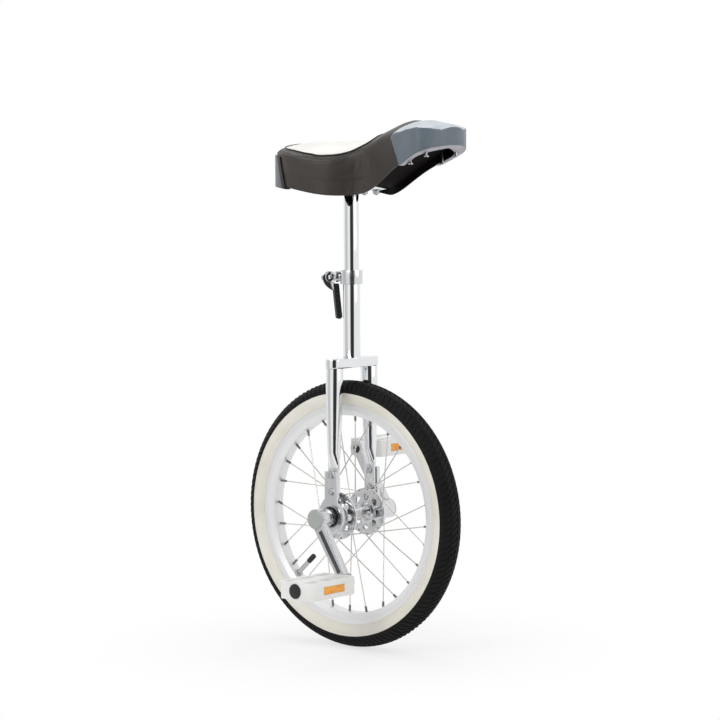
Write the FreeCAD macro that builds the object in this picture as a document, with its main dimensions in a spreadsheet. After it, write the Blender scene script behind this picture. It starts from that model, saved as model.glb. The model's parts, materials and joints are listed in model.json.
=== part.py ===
import FreeCAD, Part
import Sketcher
import math
import os
import re
from FreeCAD import Placement, Rotation, Vector

# A unicycle with an eighteen inch wheel.  X points forwards, to the saddle's nose, Y to the
# rider's left and Z up.  The origin is where the tyre touches the ground.  Millimetres.

doc = FreeCAD.newDocument("Unicycle")

# ---------------------------------------------------------------- driving dimensions
SIZES = {
    # wheel
    "tyre_width": 46, "section_rise": 16.5, "tyre_wall": 3.8, "bead_width": 3.6,
    "bead_gap": 0.15, "crown_extra": 0.8, "tyre_foot_rise": 0.7,
    "rim_edge_radius": 183.5, "rim_lip_height": 6, "rim_width": 31, "rim_wall": 2,
    "rim_depth": 18.5, "rim_flank_depth": 9.5, "rim_bed_width": 20, "rim_bed_wall": 2,
    "spoke_hole_width": 5.4, "tape_wall": 1, "tape_rise": 5, "tube_wall": 1.2,
    "valve_angle": 222.6, "valve_width": 7.8, "valve_hole_width": 8.6, "valve_reach": 44,
    "valve_thread_start": 28, "valve_foot_width": 12, "valve_foot_gap": 0.2,
    "valve_nut_wall": 2.6, "valve_cap_crown": 6.5,
    "spoke_count": 28, "spoke_width": 2, "spoke_crossings": 2, "spoke_head_wall": 1.2, "spoke_lift": 1.4,
    "nipple_width": 4, "nipple_length": 13, "nipple_head_width": 6.6, "nipple_head_wall": 1.9,
    "nipple_head_gap": 1.3,
    # hub
    "flange_offset": 36, "flange_wall": 3, "flange_edge": 2.5, "spoke_circle_radius": 37,
    "hub_barrel_radius": 13, "hub_end_radius": 11.6, "window_count": 8, "window_radius": 5.5,
    "window_circle_radius": 24.5, "axle_radius": 9, "axle_step": 0.5,
    "bearing_offset": 50, "bearing_width": 12, "bearing_radius": 20,
    "ball_radius": 3.37, "ball_count": 8, "inner_race_wall": 3.5, "outer_race_wall": 3.1,
    "track_gap": 0.12, "cage_wall": 2.8, "cage_width": 8, "seal_wall": 0.8,
    # cranks and pedals
    "crank_angle": 302, "crank_length": 115, "crank_space": 13, "crank_boss_width": 24.5,
    "crank_boss_radius": 16.5, "crank_arm_wall": 12.5, "crank_arm_rise": 2,
    "crank_arm_width": 21, "crank_tip_width": 17.5, "crank_end_radius": 13.5,
    "flute_width": 8, "flute_depth": 2.5, "square_side": 13.4, "square_end_side": 12.7,
    "square_root": 4, "crank_cap_wall": 3, "cap_plug_radius": 11, "cap_recess_depth": 7,
    "crank_bolt_radius": 4, "crank_bolt_length": 24, "crank_bolt_head_radius": 8,
    "pedal_gap": 7.5, "pedal_length": 110, "pedal_width": 70, "pedal_height": 28,
    "pedal_wall": 8, "pedal_rib": 6, "pedal_corner": 9, "pedal_barrel_radius": 12,
    "pedal_boss_radius": 18, "pedal_boss_length": 10, "spindle_radius": 6.2,
    "spindle_thread_radius": 7.2, "spindle_collar_radius": 9, "spindle_tip_radius": 4.5,
    "bush_wall": 2.4, "bush_length": 10, "pedal_nut_radius": 7, "pedal_nut_wall": 5,
    "pedal_cap_radius": 12, "pedal_cap_wall": 2.4, "pedal_cap_depth": 7,
    "reflector_length": 50, "reflector_height": 12, "reflector_wall": 3,
    # frame
    "crown_gap": 22, "crown_height": 16, "crown_half_length": 60, "crown_wall": 3,
    "crown_rounding": 3, "crown_core_wall": 1.2, "seat_tube_length": 144, "seat_tube_wall": 1.6,
    "leg_tube_wall": 1.5, "leg_top_offset": 44, "leg_inset": 3.7, "leg_taper_start": 205,
    "leg_round_end": 106, "leg_low_radius": 10.6, "leg_flat_start": 80, "leg_flat_radius": 11.6,
    "leg_flat_half_wall": 3.2, "blade_wall": 4.6, "blade_width": 22, "blade_end": 33,
    "holder_wall": 7.5, "holder_width": 14, "holder_lip": 1.5, "stem_width": 27, "stem_wall": 6.6,
    "stem_top": 75, "stem_bottom": 20, "holder_bolt_high": 68.7, "holder_bolt_low": 41.4,
    "holder_bolt_radius": 2.9, "holder_head_radius": 5.8, "holder_head_wall": 3.6,
    "holder_nut_wall": 2.4,
    # clamp
    "clamp_turn": 35, "collar_drop": 10.5, "skewer_space": 4.2, "collar_height": 23,
    "collar_wall": 4, "ear_length": 18, "ear_half_width": 10, "slit_width": 3, "slit_depth": 42,
    "skewer_radius": 2.5, "skewer_spare": 10, "cam_offset": 31, "cam_radius": 9, "cam_width": 15,
    "cam_pin_radius": 2, "eye_radius": 4.4, "eye_width": 6, "lever_arm_width": 9, "grip_width": 12,
    "clamp_nut_wall": 8, "clamp_nut_radius": 7.2,
    # seat post and saddle
    "post_radius": 12.7, "post_wall": 2, "post_insertion": 105, "post_plug_length": 10,
    "post_plug_rim": 1.5, "saddle_rise": 125, "bracket_wall": 4, "bracket_length": 116,
    "bracket_width": 46, "stud_edge": 16, "stud_spread": 15, "stud_radius": 3, "stud_length": 22,
    "stud_tip": 8, "stud_nut_radius": 5.8, "stud_nut_wall": 5, "stud_washer_radius": 7.2,
    "stud_washer_wall": 1.2, "saddle_skirt": 12, "saddle_plate_wall": 3, "cover_wall": 2,
    "front_bumper_start": 135, "front_bumper_level": 70, "front_bumper_lean": 25,
    "rear_bumper_end": -70, "rear_bumper_level": 28, "rear_bumper_lean": 17, "rear_bumper_drop": 8,
    "bumper_wall": 2.4, "bumper_lip": 12,
    "bumper_screw_radius": 1.9, "bumper_head_radius": 4.2, "bumper_head_wall": 2.2,
    # clearances
    "slip_gap": 0.05, "post_fit": 0.07, "bolt_gap": 0.1, "small_gap": 0.3,
}

# ---------------------------------------------------------------- places that follow from the sizes
FOLLOWS = {
    "tyre_radius": "rim_edge_radius + section_rise + tyre_width / 2",
    "rim_bed_radius": "rim_edge_radius - rim_depth",
    "bead_outside": "rim_width / 2 - rim_wall - bead_gap",
    "bead_inside": "bead_outside - bead_width",
    "bead_low": "rim_edge_radius - rim_lip_height + bead_gap",
    "cavity_top": "tyre_radius - tyre_wall - crown_extra",
    "cavity_reach": "tyre_width / 2 - tyre_wall",
    "cavity_foot": "max(cavity_top - cavity_reach - sqrt(cavity_reach^2 - bead_inside^2); bead_low + 3)",
    "cavity_height": "cavity_top - cavity_foot",
    "cavity_radius": "(bead_inside^2 + cavity_height^2) / (2 * cavity_height)",
    "valve_end_radius": "rim_bed_radius - valve_reach",
    "flange_radius": "spoke_circle_radius + flange_edge",
    "bearing_bore_radius": "axle_radius - axle_step",
    "ball_circle_radius": "(bearing_bore_radius + bearing_radius) / 2",
    "holder_radius": "bearing_radius + holder_wall",
    "crank_inner": "bearing_offset + bearing_width / 2 + crank_space",
    "crank_boss_outer": "crank_inner + crank_boss_width",
    "crank_arm_outer": "crank_boss_outer + crank_arm_rise",
    "crank_arm_inner": "crank_arm_outer - crank_arm_wall",
    "pedal_start": "crank_arm_outer + pedal_gap",
    "pedal_end": "pedal_start + pedal_length",
    "main_tube_radius": "post_radius + seat_tube_wall",
    "leg_low_offset": "bearing_offset - leg_inset",
    "crown_bottom": "2 * tyre_radius + crown_gap",
    "crown_top": "crown_bottom + crown_height",
    "seat_tube_top": "crown_top + seat_tube_length",
    "skewer_height": "seat_tube_top - collar_drop",
    "skewer_offset": "main_tube_radius + collar_wall + skewer_space",
    "post_bottom": "seat_tube_top - post_insertion",
    "saddle_height": "seat_tube_top + saddle_rise",
    "stud_reach": "bracket_length / 2 - stud_edge",
}

sheet = doc.addObject("Spreadsheet::Sheet", "Sizes")
for row, (alias, size) in enumerate(SIZES.items(), start=1):
    sheet.set(f"A{row}", alias)
    sheet.set(f"B{row}", str(size))
    sheet.setAlias(f"B{row}", alias)
doc.recompute()

ALONG_X = Rotation(Vector(0, 1, 0), 90)
ALONG_Y = Rotation(Vector(1, 0, 0), -90)
ALONG_Z = Rotation()
SIDES = {"right": -1, "left": 1}
nodes = []


def link(text):
    """Turn the names in a formula into references to the sheet."""
    def reference(word):
        name = word.group()
        return f"({link(FOLLOWS[name])})" if name in FOLLOWS else "Sizes." + name
    return re.sub(r"[a-z]+(?:_[a-z]+)+", reference, str(text))


def number(text):
    """Value of a formula in the sheet's sizes."""
    return float(sheet.evalExpression(link(text)))


def bind(item, **formulas):
    for name, formula in formulas.items():
        item.setExpression(name, link(formula))


def put(item, at=("0", "0", "0"), turn=ALONG_Z):
    """Place an object with its base bound to the sheet."""
    item.Placement = Placement(Vector(), turn)
    for axis, formula in zip("xyz", at):
        item.setExpression("Placement.Base." + axis, link(formula))
    return item


def keep(item, frame=None):
    """List a finished piece, and put it in its frame."""
    if frame is not None:
        item.Placement = frame
    nodes.append(item)
    return item


# ---------------------------------------------------------------- primitives and booleans
def rod(name, radius, length, at=("0", "0", "0"), turn=ALONG_Z):
    item = doc.addObject("Part::Cylinder", name)
    bind(item, Radius=radius, Height=length)
    return put(item, at, turn)


def block(name, sizes, at=("0", "0", "0"), turn=ALONG_Z):
    """Box with its middle in X and Y, and its lowest face, at the place given."""
    item = doc.addObject("Part::Box", name)
    bind(item, Length=sizes[0], Width=sizes[1], Height=sizes[2])
    middle = (f"{at[0]} - ({sizes[0]}) / 2", f"{at[1]} - ({sizes[1]}) / 2", at[2])
    return put(item, middle, turn)


def hexagon(name, radius, length, at=("0", "0", "0"), turn=ALONG_Z):
    item = doc.addObject("Part::Prism", name)
    item.Polygon = 6
    bind(item, Circumradius=radius, Height=length)
    return put(item, at, turn)


def ring(name, tube_radius, circle_radius, at=("0", "0", "0"), turn=ALONG_Y):
    item = doc.addObject("Part::Torus", name)
    bind(item, Radius1=circle_radius, Radius2=tube_radius)
    return put(item, at, turn)


def fuse(name, *pieces):
    item = doc.addObject("Part::MultiFuse", name)
    item.Shapes = list(pieces)
    return item


def cut(name, base, *tools):
    item = doc.addObject("Part::Cut", name)
    item.Base = base
    item.Tool = tools[0] if len(tools) == 1 else fuse(name + "_tools", *tools)
    return item


def common(name, *pieces):
    item = doc.addObject("Part::MultiCommon", name)
    item.Shapes = list(pieces)
    return item


def group(name, *pieces):
    item = doc.addObject("Part::Compound", name)
    item.Links = list(pieces)
    return item


def mirrored(name, source):
    item = doc.addObject("Part::Mirroring", name)
    item.Source = source
    item.Normal = Vector(0, 1, 0)
    return item


def solid(name, shape):
    """Piece whose shape is worked out in this file."""
    item = doc.addObject("Part::Feature", name)
    item.Shape = shape
    return item


# ---------------------------------------------------------------- sketches
def tie_point(sketch, edge, end, across, up):
    """Bind one end or centre of an edge to two formulas."""
    for kind, axis_edge, formula in (("DistanceX", -2, across), ("DistanceY", -1, up)):
        value = number(formula)
        if abs(value) < 1e-9:
            sketch.addConstraint(Sketcher.Constraint("PointOnObject", edge, end, axis_edge))
            continue
        made = sketch.addConstraint(Sketcher.Constraint(kind, -1, 1, edge, end, value))
        sketch.setExpression(f"Constraints[{made}]", link(formula))


def tie_radius(sketch, edge, formula):
    made = sketch.addConstraint(Sketcher.Constraint("Radius", edge, number(formula)))
    sketch.setExpression(f"Constraints[{made}]", link(formula))


def draw_outline(sketch, corners):
    """Closed outline through corners (across, up), every corner bound to the sheet.

    A third value is the radius of the arc that leaves the corner: positive bulges to the
    right of the way round, negative to the left.
    """
    count = len(corners)
    spots = [Vector(number(corner[0]), number(corner[1]), 0) for corner in corners]
    edges = []
    for index, corner in enumerate(corners):
        start = spots[index]
        end = spots[(index + 1) % count]
        if len(corner) == 2:
            edges.append(sketch.addGeometry(Part.LineSegment(start, end), False))
            continue
        radius = number(corner[2])
        chord = end.sub(start)
        half = chord.Length / 2
        rise = abs(radius) - math.sqrt(max(radius * radius - half * half, 0))
        outward = Vector(chord.y, -chord.x, 0).normalize() * math.copysign(rise, radius)
        middle = (start + end) / 2 + outward
        edges.append(sketch.addGeometry(Part.Arc(start, middle, end), False))

    def tip(edge, spot):
        return 1 if sketch.getPoint(edge, 1).distanceToPoint(spot) < 1e-6 else 2

    for index, corner in enumerate(corners):
        edge = edges[index]
        before = edges[index - 1]
        spot = spots[index]
        near = tip(edge, spot)
        sketch.addConstraint(Sketcher.Constraint("Coincident", before, tip(before, spot), edge, near))
        tie_point(sketch, edge, near, corner[0], corner[1])
        if len(corner) == 3:
            tie_radius(sketch, edge, f"abs({corner[2]})")


def draw_circle(sketch, across, up, radius):
    spot = Vector(number(across), number(up), 0)
    circle = Part.Circle(spot, Vector(0, 0, 1), number(radius))
    edge = sketch.addGeometry(circle, False)
    tie_point(sketch, edge, 3, across, up)
    tie_radius(sketch, edge, radius)


def origin_part(body, role):
    return next(item for item in body.Origin.OriginFeatures if item.Role == role)


def new_sketch(body, name, plane, offset="0"):
    """Sketch on one of the body's own planes, moved along the plane's normal."""
    sketch = body.newObject("Sketcher::SketchObject", name)
    sketch.AttachmentSupport = [(origin_part(body, plane), "")]
    sketch.MapMode = "FlatFace"
    sketch.setExpression("AttachmentOffset.Base.z", link(offset))
    return sketch


def turned_body(name, corners, axis="H_Axis"):
    """PartDesign body turned about Y (H_Axis) or Z (V_Axis) from an outline in the YZ plane."""
    body = doc.addObject("PartDesign::Body", name)
    sketch = new_sketch(body, name + "_profile", "YZ_Plane")
    draw_outline(sketch, corners)
    turning = body.newObject("PartDesign::Revolution", name + "_turning")
    turning.Profile = sketch
    turning.ReferenceAxis = (sketch, [axis])
    turning.Angle = 360
    sketch.Visibility = False
    doc.recompute()
    return body


def padded_body(name, plane, corners, length, offset="0", both_ways=False):
    body = doc.addObject("PartDesign::Body", name)
    sketch = new_sketch(body, name + "_outline", plane, offset)
    draw_outline(sketch, corners)
    pad = body.newObject("PartDesign::Pad", name + "_pad")
    pad.Profile = sketch
    pad.Midplane = both_ways
    bind(pad, Length=length)
    doc.recompute()
    return body


def drill(body, name, plane, spot, radius, along_normal=False, offset="0", turn=None, depth=None,
          copies=None):
    """Cut a round hole from one plane, right through or to a depth, and repeat it about Y."""
    sketch = new_sketch(body, name + "_outline", plane, offset)
    if turn is not None:
        sketch.AttachmentOffset = Placement(Vector(), turn)
    draw_circle(sketch, *spot, radius)
    doc.recompute()
    before = body.Shape.Volume
    hole = body.newObject("PartDesign::Pocket", name)
    hole.Profile = sketch
    hole.Type = "ThroughAll" if depth is None else "Length"
    if depth is not None:
        bind(hole, Length=depth)
    hole.Reversed = along_normal
    doc.recompute()
    if body.Shape.Volume > before - 1e-6:
        raise RuntimeError(name + " cuts nothing")
    if copies is not None:
        pattern = body.newObject("PartDesign::PolarPattern", name + "s")
        pattern.Originals = [hole]
        pattern.Axis = (origin_part(body, "Y_Axis"), [""])
        pattern.Angle = 360
        bind(pattern, Occurrences=copies)
        body.Tip = pattern
        doc.recompute()


# ---------------------------------------------------------------- frames
hub_centre = Vector(0, 0, number("tyre_radius"))
# the wheel is drawn with its valve straight up and then turned to the valve's place
wheel_frame = Placement(hub_centre, Rotation(Vector(0, 1, 0), 90 - number("valve_angle")))
right_crank_frame = Placement(hub_centre, Rotation(Vector(0, 1, 0), 90 - number("crank_angle")))
turned_over = Placement(Vector(), Rotation(Vector(1, 0, 0), 180))
crank_frames = {"right": right_crank_frame, "left": right_crank_frame.multiply(turned_over)}
half_turn = Rotation(Vector(0, 0, 1), 180)
pedal_frames = {}
for side, crank_frame in crank_frames.items():
    pedal_centre = crank_frame.multVec(Vector(0, 0, number("crank_length")))
    pedal_frames[side] = Placement(pedal_centre, Rotation() if side == "right" else half_turn)
clamp_rotation = Rotation(Vector(0, 0, 1), -number("clamp_turn"))
clamp_frame = Placement(Vector(0, 0, number("skewer_height")), clamp_rotation)


# ---------------------------------------------------------------- wheel
def make_tyre():
    crown = "tyre_width / 2"
    middle = "tyre_radius - tyre_width / 2"
    foot = "rim_edge_radius + tyre_foot_rise"
    outer_foot = f"sqrt(({crown})^2 - ({middle} - ({foot}))^2)"
    body = turned_body("tyre", [
        (outer_foot, foot, crown), ("0", "tyre_radius", crown), (f"-{outer_foot}", foot),
        ("-bead_outside", foot), ("-bead_outside", "bead_low"), ("-bead_inside", "bead_low"),
        ("-bead_inside", "cavity_foot", "-cavity_radius"), ("0", "cavity_top", "-cavity_radius"),
        ("bead_inside", "cavity_foot"), ("bead_inside", "bead_low"), ("bead_outside", "bead_low"),
        ("bead_outside", foot)])
    keep(body, wheel_frame)


def make_inner_tube():
    middle = "(cavity_top - cavity_radius)"
    radius = "(cavity_radius - small_gap)"
    outside = ring("tube_outside", radius, middle)
    inside = ring("tube_inside", f"{radius} - tube_wall", middle)
    keep(cut("inner_tube", outside, inside), wheel_frame)


def make_rim():
    lip = "rim_width / 2"
    lip_in = "(rim_width / 2 - rim_wall)"
    seat = "rim_edge_radius - rim_lip_height"
    flank = "rim_edge_radius - rim_flank_depth"
    bed_top = "rim_bed_radius + rim_bed_wall"
    body = turned_body("rim", [
        (lip, "rim_edge_radius"), (lip_in, "rim_edge_radius"), (lip_in, seat),
        ("rim_bed_width / 2 + 0.4", seat), ("rim_bed_width / 2 - 1.2", bed_top),
        ("1.2 - rim_bed_width / 2", bed_top), ("-0.4 - rim_bed_width / 2", seat),
        (f"-{lip_in}", seat), (f"-{lip_in}", "rim_edge_radius"), (f"-{lip}", "rim_edge_radius"),
        (f"-{lip}", flank), ("-rim_bed_width / 2", "rim_bed_radius"),
        ("rim_bed_width / 2", "rim_bed_radius"), (lip, flank)])
    drill(body, "rim_valve_hole", "XY_Plane", ("0", "0"), "valve_hole_width / 2", along_normal=True)
    # the first spoke hole lies half a pitch past the valve
    half_pitch = Rotation(Vector(0, 1, 0), -180 / number("spoke_count"))
    drill(body, "rim_spoke_hole", "XY_Plane", ("0", "0"), "spoke_hole_width / 2", along_normal=True,
          turn=half_pitch, copies="spoke_count")
    keep(body, wheel_frame)


def make_rim_tape():
    low = "rim_bed_radius + rim_bed_wall + tape_rise"
    high = f"{low} + tape_wall"
    half = "(rim_bed_width / 2 - 1)"
    body = turned_body("rim_tape", [(half, low), (half, high), (f"-{half}", high), (f"-{half}", low)])
    drill(body, "tape_valve_hole", "XY_Plane", ("0", "0"), "valve_hole_width / 2 + small_gap",
          along_normal=True)
    keep(body, wheel_frame)


def make_valve():
    tube_bottom = "(cavity_top - 2 * cavity_radius + small_gap - valve_foot_gap)"
    foot = f"({tube_bottom} - 1.5)"
    wide = "valve_width / 2"
    thread = "(valve_width / 2 - 0.6)"
    thread_start = "(rim_bed_radius - valve_thread_start)"
    stem = turned_body("valve_stem", [
        ("0", "valve_end_radius"), (thread, "valve_end_radius"), (thread, f"{thread_start} - 2"),
        (wide, thread_start), (wide, foot), ("valve_foot_width / 2", foot),
        ("valve_foot_width / 2", tube_bottom), ("0", tube_bottom)], "V_Axis")
    keep(stem, wheel_frame)
    nut_place = ("0", "0", "rim_bed_radius - valve_nut_wall - small_gap")
    nut_body = rod("valve_nut_disc", "valve_width / 2 + 3", "valve_nut_wall", nut_place)
    nut_hole = rod("valve_nut_hole", "valve_width / 2 + slip_gap", "3 * valve_nut_wall",
                   ("0", "0", "rim_bed_radius - 2 * valve_nut_wall"))
    keep(cut("valve_nut", nut_body, nut_hole), wheel_frame)
    cap_end = "(valve_end_radius - valve_cap_crown)"
    cap_radius = "(valve_width / 2 + 0.6)"
    cap_mouth = f"{thread_start} - 5"
    cap = turned_body("valve_cap", [
        ("0", cap_end, cap_radius), (cap_radius, f"{cap_end} + 3"), (cap_radius, cap_mouth),
        (f"{thread} + slip_gap", cap_mouth), (f"{thread} + slip_gap", "valve_end_radius - small_gap"),
        ("0", "valve_end_radius - small_gap")], "V_Axis")
    keep(cap, wheel_frame)


def spot_on_wheel(angle, radius, across):
    """Point in the wheel's frame at an angle that is counted from forwards towards up."""
    turn = math.radians(angle)
    return Vector(radius * math.cos(turn), across, radius * math.sin(turn))


def make_spokes():
    """Every second rim hole belongs to one flange, and its spokes cross two others on the way."""
    count = int(number("spoke_count"))
    pitch = 360 / count
    reach = 2 * pitch * number("spoke_crossings")
    wire = number("spoke_width") / 2
    wall = number("flange_wall")
    bed_middle = number("rim_bed_radius + rim_bed_wall / 2")
    head_rise = number("rim_bed_wall / 2 + nipple_head_gap")
    nipple_radius = number("nipple_width / 2")
    nipple_length = number("nipple_length")
    head_radius = number("nipple_head_width / 2")
    gap = number("slip_gap")
    spokes = {"right": [], "left": []}
    nipples = []
    for index in range(count):
        side = "right" if index % 2 == 0 else "left"
        sign = SIDES[side]
        leads = 1 if (index // 2) % 2 == 0 else -1
        rim_angle = 90 + pitch / 2 + pitch * index
        hub_angle = rim_angle + leads * reach
        # a leading spoke leaves the outer face of the flange and a trailing one the inner face
        lift = number("spoke_lift") if leads > 0 else 0.15
        bend_across = number("flange_offset") + leads * (wall / 2 + wire + lift)
        head_across = number("flange_offset") - leads * (wall / 2 + 0.1)
        bend = spot_on_wheel(hub_angle, number("spoke_circle_radius"), sign * bend_across)
        head = spot_on_wheel(hub_angle, number("spoke_circle_radius"), sign * head_across)
        outward = Vector(0, -sign * leads, 0)
        # the spoke's line crosses the middle of its hole, and the nipple's head lies above the bed
        run = spot_on_wheel(rim_angle, bed_middle, 0) - bend
        along = Vector(run).normalize()
        head_start = bend + along * (run.Length + head_rise)
        straight = Part.makeCylinder(wire, run.Length + head_rise, bend, along)
        elbow = Part.makeCylinder(wire, (head - bend).Length, bend, outward)
        knee = Part.makeSphere(wire, bend)
        button = Part.makeCylinder(wire * 2, number("spoke_head_wall"), head, outward)
        spokes[side].append(straight.fuse([elbow, knee, button]).removeSplitter())
        stem = Part.makeCylinder(nipple_radius, nipple_length, head_start, along * -1)
        cap = Part.makeCylinder(head_radius, number("nipple_head_wall"), head_start, along)
        bore = Part.makeCylinder(wire + gap, nipple_length + 1.2, head_start, along * -1)
        nipples.append(stem.fuse(cap).cut(bore))
    for side, pieces in spokes.items():
        keep(solid("spokes_" + side, Part.makeCompound(pieces)), wheel_frame)
    keep(solid("spoke_nipples", Part.makeCompound(nipples)), wheel_frame)


def make_hub():
    inner = "(flange_offset - flange_wall / 2)"
    outer = "(flange_offset + flange_wall / 2)"
    end = "bearing_offset - bearing_width / 2"
    bore = "axle_radius + slip_gap"
    half = [
        (end, bore), (end, "hub_end_radius"), (f"{outer} + 1.5", "hub_barrel_radius + 3"),
        (outer, "hub_barrel_radius + 3"), (outer, "flange_radius"), (inner, "flange_radius"),
        (inner, "hub_barrel_radius + 3"), (f"{inner} - 4", "hub_barrel_radius")]
    other = [(f"-({across})", up) for across, up in reversed(half)]
    body = turned_body("hub_shell", half + other)
    half_pitch = 180 / number("spoke_count")
    for side, sign, phase in (("right", 1, half_pitch), ("left", -1, 3 * half_pitch)):
        face = f"{sign} * (flange_offset - flange_wall)"
        spoke_spot = (f"-spoke_circle_radius * sin({phase})", f"spoke_circle_radius * cos({phase})")
        drill(body, f"{side}_spoke_hole", "XZ_Plane", spoke_spot, "spoke_width / 2 + small_gap",
              side == "right", face, depth="2 * flange_wall", copies="spoke_count / 2")
        drill(body, f"{side}_window", "XZ_Plane", ("0", "window_circle_radius"), "window_radius",
              side == "right", face, depth="2 * flange_wall", copies="window_count")
    keep(body, wheel_frame)


def tapered_square(name, side_in, side_out, start, length, grow="0"):
    """Square axle end along -Y, wider at its root, as a wedge."""
    item = doc.addObject("Part::Wedge", name)
    half_in = f"(({side_in}) / 2 + {grow})"
    half_out = f"(({side_out}) / 2 + {grow})"
    bind(item, Xmin=f"-{half_in}", Xmax=half_in, Zmin=f"-{half_in}", Zmax=half_in,
         X2min=f"-{half_out}", X2max=half_out, Z2min=f"-{half_out}", Z2max=half_out,
         Ymin="0", Ymax=length)
    return put(item, ("0", f"-({start})", "0"), Rotation(Vector(0, 0, 1), 180))


def make_axle():
    seat_end = "(crank_inner - square_root)"
    shoulder = "(bearing_offset - bearing_width / 2)"
    middle = turned_body("axle_middle", [
        (seat_end, "0"), (seat_end, "bearing_bore_radius"), (shoulder, "bearing_bore_radius"),
        (shoulder, "axle_radius"), (f"-{shoulder}", "axle_radius"),
        (f"-{shoulder}", "bearing_bore_radius"), (f"-{seat_end}", "bearing_bore_radius"),
        (f"-{seat_end}", "0")])
    length = "(crank_boss_width - 3)"
    axle_end = f"-{seat_end} - {length}"
    square = tapered_square("axle_square", "square_side", "square_end_side", seat_end, length)
    round_off = rod("axle_round_off", "bearing_bore_radius - 0.1", length, ("0", axle_end, "0"), ALONG_Y)
    right = common("axle_right", square, round_off)
    bolt_hole = rod("axle_bolt_hole", "crank_bolt_radius + slip_gap", "crank_bolt_length",
                    ("0", f"{axle_end} - 1", "0"), ALONG_Y)
    whole = fuse("axle_whole", middle, right, mirrored("axle_left", right))
    keep(cut("hub_axle", whole, bolt_hole, mirrored("axle_left_hole", bolt_hole)), crank_frames["right"])


def make_bearings():
    """Two sealed ball bearings, each an inner ring, an outer ring, balls in a cage and two seals."""
    low = "(bearing_offset - bearing_width / 2)"
    high = "(bearing_offset + bearing_width / 2)"

    def right_and_left(name, right, frame):
        keep(group(name, right, mirrored(name + "_left", right)), frame)

    def race(name, inside, outside):
        tube = cut(name + "_tube",
                   rod(name + "_outside", outside, "bearing_width", ("0", f"-{high}", "0"), ALONG_Y),
                   rod(name + "_inside", inside, "bearing_width + 2", ("0", f"-{high} - 1", "0"), ALONG_Y))
        track = ring(name + "_track", "ball_radius + track_gap", "ball_circle_radius",
                     ("0", "-bearing_offset", "0"))
        return cut(name + "_right", tube, track)

    inner = race("inner_ring", "bearing_bore_radius", "bearing_bore_radius + inner_race_wall")
    outer = race("outer_ring", "bearing_radius - outer_race_wall", "bearing_radius")
    right_and_left("bearing_inner_rings", inner, wheel_frame)
    right_and_left("bearing_outer_rings", outer, Placement(hub_centre, Rotation()))
    ball_circle = number("ball_circle_radius")
    cage_half_wall = number("cage_wall / 2")
    cage_width = number("cage_width")
    balls = []
    cages = []
    for sign in SIDES.values():
        middle = sign * number("bearing_offset")
        start = Vector(0, middle - cage_width / 2, 0)
        outside = Part.makeCylinder(ball_circle + cage_half_wall, cage_width, start, Vector(0, 1, 0))
        inside = Part.makeCylinder(ball_circle - cage_half_wall, cage_width, start, Vector(0, 1, 0))
        pockets = []
        for index in range(int(number("ball_count"))):
            turn = index * 360 / number("ball_count")
            balls.append(Part.makeSphere(number("ball_radius"), spot_on_wheel(turn, ball_circle, middle)))
            pocket_foot = spot_on_wheel(turn, ball_circle / 2, middle)
            pockets.append(Part.makeCylinder(number("ball_radius + 0.15"), ball_circle, pocket_foot,
                                             spot_on_wheel(turn, 1, 0)))
        cages.append(outside.cut([inside] + pockets))
    keep(solid("bearing_balls", Part.makeCompound(balls)), Placement(hub_centre, Rotation()))
    keep(solid("bearing_cages", Part.makeCompound(cages)), Placement(hub_centre, Rotation()))
    seal_in = "bearing_bore_radius + inner_race_wall + small_gap"
    seal_out = "bearing_radius - outer_race_wall"
    faces = []
    for name, start in (("outer_seal", f"-{high} + 0.2"), ("inner_seal", f"-{low} - 0.2 - seal_wall")):
        disc = rod(name + "_disc", seal_out, "seal_wall", ("0", start, "0"), ALONG_Y)
        hole = rod(name + "_hole", seal_in, "seal_wall + 2", ("0", f"{start} - 1", "0"), ALONG_Y)
        faces.append(cut(name, disc, hole))
    right = group("seals_right", *faces)
    right_and_left("bearing_seals", right, Placement(hub_centre, Rotation()))


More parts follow.
